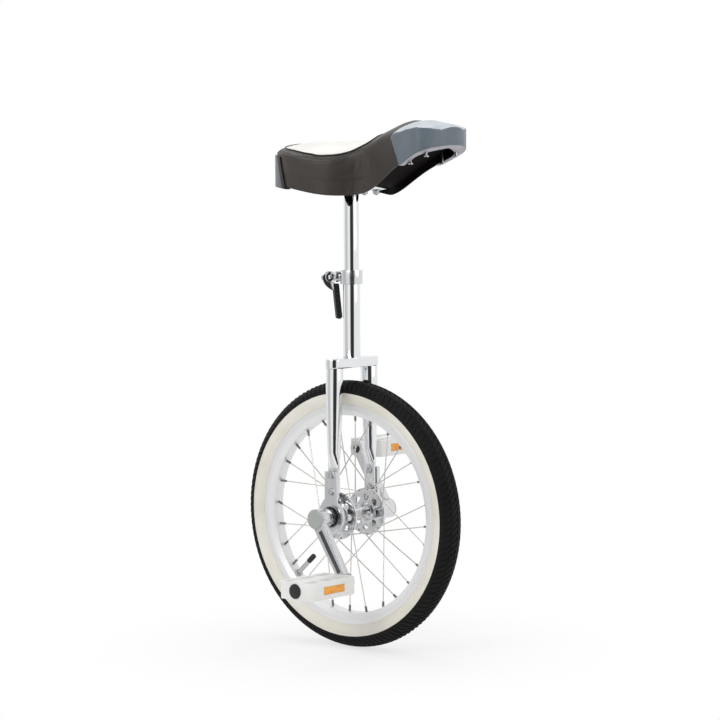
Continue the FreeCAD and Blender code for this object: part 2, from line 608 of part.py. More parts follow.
# ---------------------------------------------------------------- cranks and pedals
def make_cranks():
    recess_floor = "(crank_boss_outer - cap_recess_depth)"
    bolts = []
    caps = []
    for side, frame in crank_frames.items():
        arm = padded_body(f"crank_arm_{side}", "XZ_Plane", [
            ("crank_arm_width / 2", "0"), ("crank_tip_width / 2", "crank_length"),
            ("-crank_tip_width / 2", "crank_length"), ("-crank_arm_width / 2", "0")],
            "crank_arm_wall", "crank_arm_inner")
        boss = rod(f"crank_boss_{side}", "crank_boss_radius", "crank_boss_width",
                   ("0", "-crank_boss_outer", "0"), ALONG_Y)
        tip = rod(f"crank_tip_{side}", "crank_end_radius", "crank_arm_wall + 1.5",
                  ("0", "-crank_arm_outer - 1", "crank_length"), ALONG_Y)
        flute_length = "(crank_length - crank_boss_radius - crank_end_radius - 8)"
        flute = block(f"crank_flute_{side}", ("flute_width", "2 * flute_depth", flute_length),
                      ("0", "-crank_arm_outer", "crank_boss_radius + 5"))
        square = tapered_square(f"crank_square_{side}", "square_side", "square_end_side",
                                "crank_inner - square_root", "crank_boss_width - 3", "0.02")
        recess = rod(f"crank_recess_{side}", "cap_plug_radius + slip_gap", "cap_recess_depth + 1",
                     ("0", "-crank_boss_outer - 1", "0"), ALONG_Y)
        cap_space = rod(f"crank_cap_space_{side}", "crank_boss_radius + small_gap", "crank_cap_wall + 2",
                        ("0", "-crank_boss_outer - crank_cap_wall - 2", "0"), ALONG_Y)
        bolt_way = rod(f"crank_bolt_way_{side}", "crank_bolt_radius + small_gap", "crank_boss_width + 2",
                       ("0", "-crank_boss_outer - 1", "0"), ALONG_Y)
        pedal_hole = rod(f"crank_pedal_hole_{side}", "spindle_thread_radius + slip_gap",
                         "crank_arm_wall + 5", ("0", "-crank_arm_outer - 3", "crank_length"), ALONG_Y)
        whole = fuse(f"crank_whole_{side}", arm, boss, tip)
        keep(cut(f"crank_{side}", whole, flute, square, recess, cap_space, bolt_way, pedal_hole), frame)
        head_wall = "(cap_recess_depth - 1.1)"
        head = hexagon(f"crank_bolt_head_{side}", "crank_bolt_head_radius", head_wall,
                       ("0", f"-{recess_floor} - {head_wall}", "0"), ALONG_Y)
        shank = rod(f"crank_bolt_shank_{side}", "crank_bolt_radius", "crank_bolt_length - 6",
                    ("0", f"-{recess_floor}", "0"), ALONG_Y)
        bolt = fuse(f"crank_bolt_{side}", head, shank)
        bolt.Placement = frame
        bolts.append(bolt)
        face = "-crank_boss_outer"
        cap_face = "-crank_boss_outer - crank_cap_wall"
        plug_in = "cap_plug_radius - 1.5"
        cover = turned_body(f"crank_cap_{side}", [
            (f"{face} + 0.9", "cap_plug_radius"), (f"{face} + 0.9", plug_in), (face, plug_in),
            (face, "0"), (cap_face, "0"), (cap_face, "crank_boss_radius - 2"),
            (f"{cap_face} + 1.4", "crank_boss_radius"), (face, "crank_boss_radius"),
            (face, "cap_plug_radius")])
        cover.Placement = frame
        caps.append(cover)
    keep(group("crank_bolts", *bolts))
    keep(group("crank_caps", *caps))


def make_pedals():
    tip_end = "(pedal_end - 6)"
    for side, frame in pedal_frames.items():
        spindle = turned_body(f"pedal_spindle_{side}", [
            ("-crank_arm_inner - 0.5", "0"), ("-crank_arm_inner - 0.5", "spindle_thread_radius"),
            ("-crank_arm_outer - 1", "spindle_thread_radius"),
            ("-crank_arm_outer - 1.1", "spindle_collar_radius"),
            ("0.5 - pedal_start", "spindle_collar_radius"), ("0.5 - pedal_start", "spindle_radius"),
            ("-pedal_start - 20", "spindle_radius"), ("28 - pedal_end", "spindle_tip_radius"),
            (f"-{tip_end}", "spindle_tip_radius"), (f"-{tip_end}", "0")])
        keep(spindle, frame)
        nut = hexagon(f"pedal_nut_hex_{side}", "pedal_nut_radius", "pedal_nut_wall",
                      ("0", f"-{tip_end} + 1", "0"), ALONG_Y)
        nut_hole = rod(f"pedal_nut_hole_{side}", "spindle_tip_radius + slip_gap", "pedal_nut_wall + 3",
                       ("0", f"-{tip_end}", "0"), ALONG_Y)
        keep(cut(f"pedal_nut_{side}", nut, nut_hole), frame)

        # moulded body: two rails, a barrel for the spindle and ribs between them
        half = "(pedal_width / 2)"
        near_corner = "-pedal_start - pedal_corner"
        far_corner = "pedal_corner - pedal_end"
        plate = padded_body(f"pedal_plate_{side}", "XY_Plane", [
            (half, near_corner, "pedal_corner"), (f"{half} - pedal_corner", "-pedal_start"),
            (f"pedal_corner - {half}", "-pedal_start", "pedal_corner"), (f"-{half}", near_corner),
            (f"-{half}", far_corner, "pedal_corner"), (f"pedal_corner - {half}", "-pedal_end"),
            (f"{half} - pedal_corner", "-pedal_end", "pedal_corner"), (half, far_corner)],
            "pedal_height", both_ways=True)
        windows = []
        window_width = f"({half} - pedal_wall - pedal_barrel_radius)"
        window_middle = f"(pedal_barrel_radius + {window_width} / 2)"
        bay = "((pedal_length - 4 * pedal_rib) / 3)"
        slots = []
        lenses = []
        for end, column in (("front", 1), ("rear", -1)):
            for bay_index in range(3):
                along = f"-(pedal_start + pedal_rib + {bay} / 2 + {bay_index} * ({bay} + pedal_rib))"
                windows.append(block(
                    f"pedal_window_{side}_{end}_{bay_index}", (window_width, bay, "pedal_height + 2"),
                    (f"{column} * {window_middle}", along, "-pedal_height / 2 - 1")))
            middle = "-pedal_start - pedal_length / 2"
            slot_sizes = ("reflector_wall + 1", "reflector_length + 2 * small_gap",
                          "reflector_height + 2 * small_gap")
            slots.append(block(
                f"pedal_slot_{side}_{end}", slot_sizes,
                (f"{column} * ({half} - reflector_wall / 2 + 0.5)", middle,
                 "-reflector_height / 2 - small_gap")))
            lenses.append(block(
                f"reflector_{side}_{end}", ("reflector_wall", "reflector_length", "reflector_height"),
                (f"{column} * ({half} - reflector_wall / 2)", middle, "-reflector_height / 2")))
        boss = rod(f"pedal_boss_{side}", "pedal_boss_radius", "pedal_boss_length",
                   ("0", "-pedal_end", "0"), ALONG_Y)
        bore = rod(f"pedal_bore_{side}", "spindle_radius + bush_wall", "pedal_length + 2",
                   ("0", "-pedal_end - 1", "0"), ALONG_Y)
        cap_seat = rod(f"pedal_cap_seat_{side}", "pedal_cap_radius + slip_gap", "pedal_cap_depth + 1",
                       ("0", "-pedal_end - 1", "0"), ALONG_Y)
        whole = fuse(f"pedal_whole_{side}", plate, boss)
        keep(cut(f"pedal_body_{side}", whole, bore, cap_seat, *windows, *slots), frame)

        bushes = []
        for name, start, radius in (("inner", "-pedal_start - bush_length - 2", "spindle_radius"),
                                    ("outer", "bush_length + 3 - pedal_end", "spindle_tip_radius")):
            sleeve = rod(f"bush_{name}_{side}", "spindle_radius + bush_wall", "bush_length",
                         ("0", start, "0"), ALONG_Y)
            hole = rod(f"bush_{name}_hole_{side}", f"{radius} + slip_gap", "bush_length + 2",
                       ("0", f"{start} - 1", "0"), ALONG_Y)
            bushes.append(cut(f"bush_{name}_cut_{side}", sleeve, hole))
        keep(group(f"pedal_bushes_{side}", *bushes), frame)
        cap = rod(f"pedal_cap_disc_{side}", "pedal_cap_radius", "pedal_cap_wall",
                  ("0", "-pedal_end - 1", "0"), ALONG_Y)
        plug = rod(f"pedal_cap_plug_{side}", "pedal_cap_radius", "3.6", ("0", "1.2 - pedal_end", "0"),
                   ALONG_Y)
        plug_hollow = rod(f"pedal_cap_hollow_{side}", "pedal_cap_radius - 1.6", "4",
                          ("0", "1.4 - pedal_end", "0"), ALONG_Y)
        keep(cut(f"pedal_cap_{side}", fuse(f"pedal_cap_solid_{side}", cap, plug), plug_hollow), frame)
        keep(group(f"pedal_reflectors_{side}", *lenses), frame)


# ---------------------------------------------------------------- frame
def stadium(half_length, radius):
    """Outline in the XY plane that is long in Y, with round ends."""
    straight = f"({half_length} - {radius})"
    return [
        (radius, f"-{straight}"), (radius, straight, radius), ("0", half_length, radius),
        (f"-{radius}", straight), (f"-{radius}", f"-{straight}", radius), ("0", f"-{half_length}", radius)]


def make_crown():
    body = padded_body("fork_crown_body", "XY_Plane", stadium("crown_half_length", "main_tube_radius"),
                       "crown_height", "crown_bottom")
    edges = [f"Edge{index}" for index, edge in enumerate(body.Shape.Edges, start=1)
             if abs(edge.BoundBox.ZLength) < 1e-6]
    pad = body.Tip
    rounding = body.newObject("PartDesign::Fillet", "crown_edges")
    rounding.Base = (pad, edges)
    bind(rounding, Radius="crown_rounding")
    doc.recompute()
    hollow_outline = stadium("(crown_half_length - crown_wall)", "(main_tube_radius - crown_wall)")
    hollow = padded_body("crown_hollow", "XY_Plane", hollow_outline, "crown_height - 2 * crown_wall",
                         "crown_bottom + crown_wall")
    core = rod("crown_core", "post_radius + post_fit + crown_core_wall", "crown_height",
               ("0", "0", "crown_bottom"))
    bore = rod("crown_bore", "post_radius + post_fit", "crown_height + 2", ("0", "0", "crown_bottom - 1"))
    shell = cut("crown_shell", body, hollow)
    keep(cut("fork_crown", fuse("crown_with_core", shell, core), bore))


def make_legs():
    """Round tubes that flare a little, end flattened and carry a flat blade for the bearing holder."""
    quarter_offset = "(leg_top_offset + (leg_low_offset - leg_top_offset) / 4)"
    for side, sign in SIDES.items():
        lofts = []
        for layer, wall in (("outside", "0"), ("inside", "leg_tube_wall")):
            circles = []
            for spot, radius, across, height in (
                    ("top", "main_tube_radius", "leg_top_offset", "crown_bottom"),
                    ("middle", "main_tube_radius", quarter_offset, "tyre_radius + leg_taper_start"),
                    ("low", "leg_low_radius", "leg_low_offset", "tyre_radius + leg_round_end")):
                circle = doc.addObject("Part::Circle", f"leg_{side}_{layer}_{spot}")
                bind(circle, Radius=f"{radius} - {wall}")
                circles.append(put(circle, ("0", f"{sign} * {across}", height)))
            flat = doc.addObject("Part::Ellipse", f"leg_{side}_{layer}_flat")
            bind(flat, MajorRadius=f"leg_flat_radius - {wall}",
                 MinorRadius=f"leg_flat_half_wall - {wall} / 2")
            put(flat, ("0", f"{sign} * leg_low_offset", "tyre_radius + leg_flat_start"))
            loft = doc.addObject("Part::Loft", f"leg_{side}_{layer}")
            loft.Sections = circles + [flat]
            loft.Solid = True
            loft.Ruled = True
            lofts.append(loft)
        blade = block(f"leg_blade_{side}", ("blade_width", "blade_wall", "leg_flat_start + 8 - blade_end"),
                      ("0", f"{sign} * leg_low_offset", "tyre_radius + blade_end"))
        hole_start = f"{sign} * leg_low_offset - 10"
        holes = [rod(f"leg_hole_{side}_{name}", "holder_bolt_radius + bolt_gap", "20",
                     ("0", hole_start, f"tyre_radius + {height}"), ALONG_Y)
                 for name, height in (("high", "holder_bolt_high"), ("low", "holder_bolt_low"))]
        hollow = cut(f"leg_tube_{side}", lofts[0], lofts[1])
        keep(cut(f"fork_leg_{side}", fuse(f"leg_whole_{side}", hollow, blade), *holes))


def make_bearing_holders():
    """Rings round the bearings, each with a stem that is bolted to the outside of its leg's blade."""
    stem_inner = "(leg_low_offset + blade_wall / 2 + slip_gap)"
    bolts = []
    nuts = []
    for side, sign in SIDES.items():
        middle = f"{sign} * bearing_offset"
        band = rod(f"holder_band_{side}", "holder_radius", "holder_width",
                   ("0", f"{middle} - holder_width / 2", "tyre_radius"), ALONG_Y)
        stem = block(f"holder_stem_{side}", ("stem_width", "stem_wall", "stem_top - stem_bottom"),
                     ("0", f"{sign} * ({stem_inner} + stem_wall / 2)", "tyre_radius + stem_bottom"))
        seat = rod(f"holder_seat_{side}", "bearing_radius", "bearing_width",
                   ("0", f"{middle} - bearing_width / 2", "tyre_radius"), ALONG_Y)
        window = rod(f"holder_window_{side}", "bearing_radius - holder_lip", "holder_width + 2",
                     ("0", f"{middle} - holder_width / 2 - 1", "tyre_radius"), ALONG_Y)
        holes = [rod(f"holder_hole_{side}_{name}", "holder_bolt_radius + bolt_gap", "30",
                     ("0", f"{sign} * leg_low_offset - 15", f"tyre_radius + {height}"), ALONG_Y)
                 for name, height in (("high", "holder_bolt_high"), ("low", "holder_bolt_low"))]
        whole = fuse(f"holder_whole_{side}", band, stem)
        keep(cut(f"bearing_holder_{side}", whole, seat, window, *holes))
        away = Rotation(Vector(1, 0, 0), -90 * sign)
        face = f"{sign} * ({stem_inner} + stem_wall)"
        back = f"{sign} * (leg_low_offset - blade_wall / 2 - holder_nut_wall)"
        shank_length = f"{stem_inner} + stem_wall - leg_low_offset + blade_wall / 2 + holder_nut_wall"
        for name, height in (("high", "holder_bolt_high"), ("low", "holder_bolt_low")):
            label = f"{side}_{name}"
            up = f"tyre_radius + {height}"
            head = hexagon(f"holder_head_{label}", "holder_head_radius", "holder_head_wall",
                           ("0", face, up), away)
            shank = rod(f"holder_shank_{label}", "holder_bolt_radius", shank_length, ("0", back, up), away)
            bolts.append(fuse(f"holder_bolt_{label}", head, shank))
            nut = hexagon(f"holder_nut_hex_{label}", "holder_head_radius", "holder_nut_wall",
                          ("0", back, up), away)
            hole = rod(f"holder_nut_hole_{label}", "holder_bolt_radius + slip_gap", "2 * holder_nut_wall",
                       ("0", f"{back} - {sign}", up), away)
            nuts.append(cut(f"holder_nut_{label}", nut, hole))
    keep(group("holder_bolts", *bolts))
    keep(group("holder_nuts", *nuts))


def make_seat_tube():
    outside = rod("seat_tube_outside", "main_tube_radius", "seat_tube_length", ("0", "0", "crown_top"))
    inside = rod("seat_tube_inside", "post_radius + post_fit", "seat_tube_length + 2",
                 ("0", "0", "crown_top - 1"))
    reach = "(main_tube_radius + 10)"
    slit = block("seat_tube_slit", (reach, "slit_width", "slit_depth + 1"),
                 (f"-{reach} / 2", "0", "-slit_depth"))
    slit_end = rod("seat_tube_slit_end", "slit_width", reach, (f"-{reach}", "0", "-slit_depth"), ALONG_X)
    slit_whole = fuse("seat_tube_slit_whole", slit, slit_end)
    slit_whole.Placement = Placement(Vector(0, 0, number("seat_tube_top")), clamp_rotation)
    keep(cut("seat_tube", outside, inside, slit_whole))


def lever_arm(name):
    """Arm and tang of the clamp lever, drawn in the plane that it swings in."""
    return padded_body(name, "YZ_Plane", [
        ("-cam_offset - 3", "8"), ("-cam_offset - 14", "1", "24"), ("-cam_offset - 5", "-17.5", "30"),
        ("-cam_offset + 7.5", "-24"), ("-cam_offset + 13.5", "-60.6"), ("-cam_offset + 17", "-60"),
        ("-cam_offset + 12", "-22"), ("-cam_offset + 6.5", "-9", "-22"), ("-cam_offset - 4", "-7")],
        "lever_arm_width", "-skewer_offset", both_ways=True)


def make_clamp():
    """Slit collar pulled together by a skewer with a cam lever at one end and a nut at the other."""
    low = "-collar_height / 2"
    bore_radius = "(main_tube_radius + slip_gap)"
    skewer_line = "-skewer_offset"
    round_part = rod("collar_round", f"{bore_radius} + collar_wall", "collar_height", ("0", "0", low))
    ears = block("collar_ears", ("ear_length", "2 * ear_half_width", "collar_height - 3"),
                 (f"{skewer_line} + 0.5", "0", f"{low} + 1.5"))
    bore = rod("collar_bore", bore_radius, "collar_height + 2", ("0", "0", f"{low} - 1"))
    slit = block("collar_slit", ("2 * ear_length", "slit_width", "collar_height + 2"),
                 (skewer_line, "0", f"{low} - 1"))
    way = rod("collar_way", "skewer_radius + small_gap", "6 * ear_half_width",
              (skewer_line, "-3 * ear_half_width", "0"), ALONG_Y)
    keep(cut("seat_clamp_collar", fuse("collar_whole", round_part, ears), bore, slit, way), clamp_frame)

    shank = rod("skewer_shank", "skewer_radius", "cam_offset + ear_half_width + skewer_spare",
                (skewer_line, "-cam_offset", "0"), ALONG_Y)
    eye = rod("skewer_eye", "eye_radius", "eye_width",
              ("-skewer_offset - eye_width / 2", "-cam_offset", "0"), ALONG_X)
    eye_hole = rod("skewer_eye_hole", "cam_pin_radius", "eye_width + 2",
                   (f"{skewer_line} - eye_width / 2 - 1", "-cam_offset", "0"), ALONG_X)
    keep(cut("clamp_skewer", fuse("skewer_whole", shank, eye), eye_hole), clamp_frame)
    seat = rod("cam_seat_disc", "cam_radius", "cam_offset - cam_radius - ear_half_width - small_gap",
               (skewer_line, "-cam_offset + cam_radius + small_gap", "0"), ALONG_Y)
    seat_way = rod("cam_seat_way", "skewer_radius + slip_gap", "cam_offset",
                   (skewer_line, "-cam_offset", "0"), ALONG_Y)
    collar_space = rod("cam_seat_relief", f"{bore_radius} + collar_wall + small_gap", "collar_height",
                       ("0", "0", low))
    keep(cut("clamp_cam_seat", seat, seat_way, collar_space), clamp_frame)

    pin_start = f"{skewer_line} - cam_width / 2"
    barrel = rod("lever_barrel", "cam_radius", "cam_width", (pin_start, "-cam_offset", "0"), ALONG_X)
    slot = block("lever_slot", ("eye_width + 0.8", "60", "40"), (skewer_line, "-cam_offset", "-5"))
    pin_hole = rod("lever_pin_hole", "cam_pin_radius + slip_gap", "cam_width + 2",
                   (f"{pin_start} - 1", "-cam_offset", "0"), ALONG_X)
    whole = fuse("lever_whole", barrel, lever_arm("lever_arm"))
    keep(cut("clamp_lever", whole, slot, pin_hole), clamp_frame)
    pin = rod("clamp_pin", "cam_pin_radius", "cam_width", (pin_start, "-cam_offset", "0"), ALONG_X)
    keep(group("clamp_lever_pin", pin), clamp_frame)
    grip = padded_body("grip_body", "YZ_Plane", [
        ("-cam_offset + 4.5", "-11.5"), ("-cam_offset + 14", "-11.5"),
        ("-cam_offset + 19.5", "-66", "-5.2"), ("-cam_offset + 10.5", "-68.5")],
        "grip_width", skewer_line, both_ways=True)
    keep(cut("clamp_lever_grip", grip, lever_arm("grip_tang_space")), clamp_frame)

    nut = hexagon("clamp_nut_hex", "clamp_nut_radius", "clamp_nut_wall",
                  (skewer_line, "ear_half_width + small_gap", "0"), ALONG_Y)
    nut_hole = rod("clamp_nut_hole", "skewer_radius + slip_gap", "clamp_nut_wall + 2",
                   (skewer_line, "ear_half_width - 1", "0"), ALONG_Y)
    keep(cut("clamp_nut", nut, nut_hole), clamp_frame)


# ---------------------------------------------------------------- seat post and saddle
# stations along the saddle: forward, half width, then the heights of its underside, its side seam
# and the crest of its top above the saddle's lowest line
SADDLE = [
    (-116, 48, 19, 75, 81), (-96, 74, 17, 73, 85), (-70, 87.5, 14, 70, 88), (-20, 88.5, 5, 61, 88),
    (15, 78, 0, 58, 87), (45, 55, 0, 63, 90), (68, 43.5, 5, 74, 95), (98, 43, 22, 90, 107),
    (139, 50, 47, 99, 122), (165, 56, 59, 104, 119), (187, 57.5, 70, 107, 114),
    (203, 43, 77, 106, 111), (213, 22, 81, 104, 107)]
UNDERSIDE, SEAM = 2, 3
SADDLE_REAR, SADDLE_NOSE = -118, 216
BEHIND, AHEAD = -150, 228
# the ends round off in plan behind and ahead of these distances
ROUND_REAR, ROUND_NOSE = -90, 180
DOME_OVERHANG = 9
HALF_SPACE = 150
BUMPER_SCREWS = [(160, 41), (190, 38), (-94, 50)]


def saddle_line(column, lift):
    """Smooth side line through one column of the stations, raised by lift."""
    base = number("saddle_height") + lift
    points = [Vector(BEHIND, 0, base + SADDLE[0][column])]
    points += [Vector(station[0], 0, base + station[column]) for station in SADDLE]
    points.append(Vector(AHEAD, 0, base + SADDLE[-1][column] + 3))
    curve = Part.BSplineCurve()
    curve.interpolate(points)
    return curve


def saddle_plan(inset):
    """Closed outline of the saddle from above, drawn in by inset."""
    right = [Vector(SADDLE_REAR + inset, 0, 0)]
    for forward, half_width, *_ in SADDLE:
        shift = inset if forward < ROUND_REAR else (-inset if forward > ROUND_NOSE else 0)
        right.append(Vector(forward + shift, -half_width + inset, 0))
    right.append(Vector(SADDLE_NOSE - inset, 0, 0))
    left = [Vector(point.x, -point.y, 0) for point in reversed(right[1:-1])]
    curve = Part.BSplineCurve()
    curve.interpolate(right + left, PeriodicFlag=True)
    return Part.Face(Part.Wire(curve.toShape()))


def saddle_prism(inset):
    return saddle_plan(inset).extrude(Vector(0, 0, 2 * number("saddle_height")))


def between_lines(low, high):
    """Solid between two side lines, wider than the saddle."""
    low_edge = low.toShape()
    high_edge = high.toShape()
    ends = []
    for position in (0, -1):
        low_end = low.value(low.FirstParameter if position == 0 else low.LastParameter)
        high_end = high.value(high.FirstParameter if position == 0 else high.LastParameter)
        ends.append(Part.makeLine(low_end, high_end))
    face = Part.Face(Part.Wire([ends[0], high_edge, ends[1], low_edge]))
    face.translate(Vector(0, -HALF_SPACE, 0))
    return face.extrude(Vector(0, 2 * HALF_SPACE, 0))


def saddle_dome(drop):
    """Everything under the crowned top, lowered by drop."""
    base = number("saddle_height")
    sections = []
    rows = [(BEHIND,) + SADDLE[0][1:]] + SADDLE + [(AHEAD,) + SADDLE[-1][1:]]
    for forward, half_width, _, seam, crest in rows:
        # the arc through the seams and the crest is carried on past the seams
        rise = crest - seam
        bow = (half_width * half_width + rise * rise) / (2 * rise)
        reach = half_width + DOME_OVERHANG
        edge = base + crest - bow + math.sqrt(bow * bow - reach * reach) - drop
        left = Vector(forward, reach, edge)
        right = Vector(forward, -reach, edge)
        top = Part.Arc(left, Vector(forward, 0, base + crest - drop), right).toShape()
        low_left = Vector(forward, reach, base / 2)
        low_right = Vector(forward, -reach, base / 2)
        sections.append(Part.Wire([
            top, Part.makeLine(right, low_right), Part.makeLine(low_right, low_left),
            Part.makeLine(low_left, left)]))
    return Part.makeLoft(sections, True, True)


def leaning_space(bumper, spot, behind=False):
    """Space ahead of or behind a plane that leans back and meets a distance at a level."""
    side = 2 * HALF_SPACE
    pivot = Vector(number(f"{bumper}_{spot}"), 0, number(f"saddle_height + {bumper}_level"))
    corner = pivot - Vector(side if behind else 0, HALF_SPACE, HALF_SPACE)
    space = Part.makeBox(side, side, side, corner)
    space.rotate(pivot, Vector(0, 1, 0), -number(f"{bumper}_lean"))
    return space


def make_bumper_screws():
    """Screws that tie each bumper's lip up into the base plate, and the holes that they need."""
    screws = []
    holes = []
    underside = saddle_line(UNDERSIDE, 0)
    head_wall = number("bumper_head_wall")
    radius = number("bumper_screw_radius")
    length = number("saddle_skirt + saddle_plate_wall + bumper_wall")
    for forward, across in BUMPER_SCREWS:
        lip_bottom = underside.value(underside.parameter(Vector(forward, 0, number("saddle_height") + 50))).z
        lip_bottom -= 1 + number("bumper_wall")
        for sign in SIDES.values():
            shank_foot = Vector(forward, sign * across, lip_bottom - 0.6)
            head_foot = shank_foot - Vector(0, 0, head_wall)
            head = Part.makeCylinder(number("bumper_head_radius"), head_wall, head_foot)
            screws.append(head.fuse(Part.makeCylinder(radius, length, shank_foot)))
            holes.append(Part.makeCylinder(radius + number("small_gap"), 3 * length, head_foot))
    keep(solid("bumper_screws", Part.makeCompound(screws)))
    return holes


def make_saddle_covers(screw_holes):
    """Top cover, side cover, base plate and foam, and the two bumpers round the ends."""
    skirt = number("saddle_skirt")
    plate = number("saddle_plate_wall")
    wall = number("cover_wall")
    gap = number("slip_gap")
    bumper_wall = number("bumper_wall")
    underside = saddle_line(UNDERSIDE, 0)
    sky = saddle_line(UNDERSIDE, 400)
    outer = saddle_prism(0)
    soft_gap = number("small_gap")
    keep(solid("saddle_top_cover", outer.common(saddle_dome(0)).cut(saddle_dome(wall))))
    shell = outer.cut(saddle_prism(wall)).common(saddle_dome(wall + gap))
    band = shell.common(between_lines(underside, sky))
    keep(solid("saddle_side_cover", band))
    core = saddle_prism(wall + gap)
    base = core.common(between_lines(saddle_line(UNDERSIDE, skirt), saddle_line(UNDERSIDE, skirt + plate)))
    foam_low = saddle_line(UNDERSIDE, skirt + plate + soft_gap)
    foam = core.common(saddle_dome(wall + soft_gap)).common(between_lines(foam_low, sky))

    bumper_outside = saddle_prism(-bumper_wall)
    wall_space = bumper_outside.cut(saddle_prism(-gap))
    lip_space = bumper_outside.cut(saddle_prism(number("bumper_lip")))
    lip_top = saddle_line(UNDERSIDE, -1)
    lip_layer = between_lines(saddle_line(UNDERSIDE, -1 - bumper_wall), lip_top)
    roof_inside = saddle_prism(-gap).common(saddle_dome(-soft_gap))
    cap_space = bumper_outside.common(saddle_dome(-bumper_wall)).cut(roof_inside)
    front_end = leaning_space("front_bumper", "start")
    rear_end = leaning_space("rear_bumper", "end", behind=True)
    rear_top = saddle_line(SEAM, -number("rear_bumper_drop"))
    for name, end_space, wall_layer in (
            ("front", front_end, cap_space.common(between_lines(lip_top, sky))),
            ("rear", rear_end, wall_space.common(between_lines(lip_top, rear_top)))):
        wrap = wall_layer.common(end_space)
        lip = lip_space.common(end_space).common(lip_layer)
        keep(solid(name + "_bumper", wrap.fuse(lip).removeSplitter().cut(screw_holes)))
    return base.cut(screw_holes), foam


def make_saddle_fixings(base, foam):
    """Steel bracket that follows the base plate, and the studs and nuts that hold it."""
    skirt = number("saddle_skirt")
    length = number("bracket_length")
    width = number("bracket_width")
    gap = number("slip_gap")
    bracket_low = saddle_line(UNDERSIDE, skirt - number("bracket_wall"))
    slab = Part.makeBox(length, width, 2 * number("saddle_height"), Vector(-length / 2, -width / 2, 0))
    bracket = slab.common(between_lines(bracket_low, saddle_line(UNDERSIDE, skirt - gap)))
    studs = []
    nuts = []
    holes = []
    stud_radius = number("stud_radius")
    nut_radius = number("stud_nut_radius")
    nut_wall = number("stud_nut_wall")
    washer_wall = number("stud_washer_wall")
    turns = [math.radians(60 * corner) for corner in range(7)]
    corners = [Vector(nut_radius * math.cos(turn), nut_radius * math.sin(turn), 0) for turn in turns]
    near = Vector(0, 0, number("saddle_height"))
    for forward in (-number("stud_reach"), number("stud_reach")):
        spot = bracket_low.parameter(near + Vector(forward, 0, 0))
        low_point = bracket_low.value(spot)
        tangent = bracket_low.tangent(spot)[0]
        upward = Vector(-tangent.z, 0, tangent.x)
        for sign in SIDES.values():
            foot = low_point + Vector(0, sign * number("stud_spread"), 0)
            holes.append(Part.makeCylinder(stud_radius + 2 * gap, 40, foot - upward * 15, upward))
            studs.append(Part.makeCylinder(stud_radius, number("stud_length"),
                                           foot - upward * number("stud_tip"), upward))
            washer_foot = foot - upward * (washer_wall + 2 * gap)
            washer = Part.makeCylinder(number("stud_washer_radius"), washer_wall, washer_foot, upward)
            nut = Part.Face(Part.makePolygon(corners)).extrude(Vector(0, 0, nut_wall))
            nut.Placement = Placement(washer_foot - upward * nut_wall, Rotation(Vector(0, 0, 1), upward))
            bore = Part.makeCylinder(stud_radius + gap, 20, foot - upward * 10, upward)
            nuts.append(nut.fuse(washer).cut(bore))
    keep(solid("saddle_base", base.cut(holes)))
    keep(solid("saddle_foam", foam.cut(holes)))
    keep(solid("saddle_bracket", bracket.cut(holes)))
    keep(solid("saddle_studs", Part.makeCompound(studs)))
    keep(solid("saddle_nuts", Part.makeCompound(nuts)))
    return bracket_low.value(bracket_low.parameter(near)).z


def make_post(top):
    inner_radius = "(post_radius - post_wall)"
    outside = rod("post_outside", "post_radius", f"{top + 2} - post_bottom", ("0", "0", "post_bottom"))
    inside = rod("post_inside", inner_radius, f"{top + 4} - post_bottom", ("0", "0", "post_bottom - 1"))
    trim_line = saddle_line(UNDERSIDE, number("saddle_skirt - bracket_wall"))
    trim = solid("post_trim", between_lines(trim_line, saddle_line(UNDERSIDE, 400)))
    keep(cut("seat_post", outside, inside, trim))
    plug = rod("post_plug_core", f"{inner_radius} - slip_gap", "post_plug_length", ("0", "0", "post_bottom"))
    plug_rim = rod("post_plug_rim", "post_radius - 0.2", "post_plug_rim",
                   ("0", "0", "post_bottom - post_plug_rim"))
    keep(fuse("seat_post_plug", plug, plug_rim))


make_tyre()
make_inner_tube()
make_rim()
make_rim_tape()
make_valve()
make_spokes()
make_hub()
make_axle()
make_bearings()
make_cranks()
make_pedals()
make_crown()
make_legs()
make_bearing_holders()
make_seat_tube()
make_clamp()
saddle_base, saddle_foam = make_saddle_covers(make_bumper_screws())
post_top = make_saddle_fixings(saddle_base, saddle_foam)
make_post(post_top)

# ---------------------------------------------------------------- check and export
doc.recompute()
for item in doc.Objects:
    faults = {"Invalid", "Error"} & set(item.State)
    if faults:
        raise RuntimeError(f"{item.Name} is {', '.join(faults)}")
os.makedirs("parts", exist_ok=True)
for item in nodes:
    shape = item.Shape
    if shape.isNull() or not shape.isValid():
        raise RuntimeError(item.Label + " has no valid shape")
    if len(shape.Solids) == 0:
        raise RuntimeError(item.Label + " holds no solid")
for item in nodes:
    item.Shape.exportStep(f"parts/{item.Label}.step")
print(len(nodes), "pieces,", sum(len(item.Shape.Solids) for item in nodes), "solids")
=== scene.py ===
# %% [markdown]
# # A unicycle, dressed for its picture
# The construction of this unicycle comes from a solid model in which every tube, bearing and bolt
# already has its size and place.  This lesson keeps that frame as it is and gives it what the eye
# needs: rounded edges, a tread, a padded saddle, real finishes, light and a camera.  The pieces
# are built in metres, with +X towards the saddle's nose, +Y to the rider's left and +Z up, and
# the tyre touches the ground at the origin.

# %% Load the frame
import bmesh
import bpy
import json
import math
from mathutils import Matrix, Vector
from mathutils.bvhtree import BVHTree


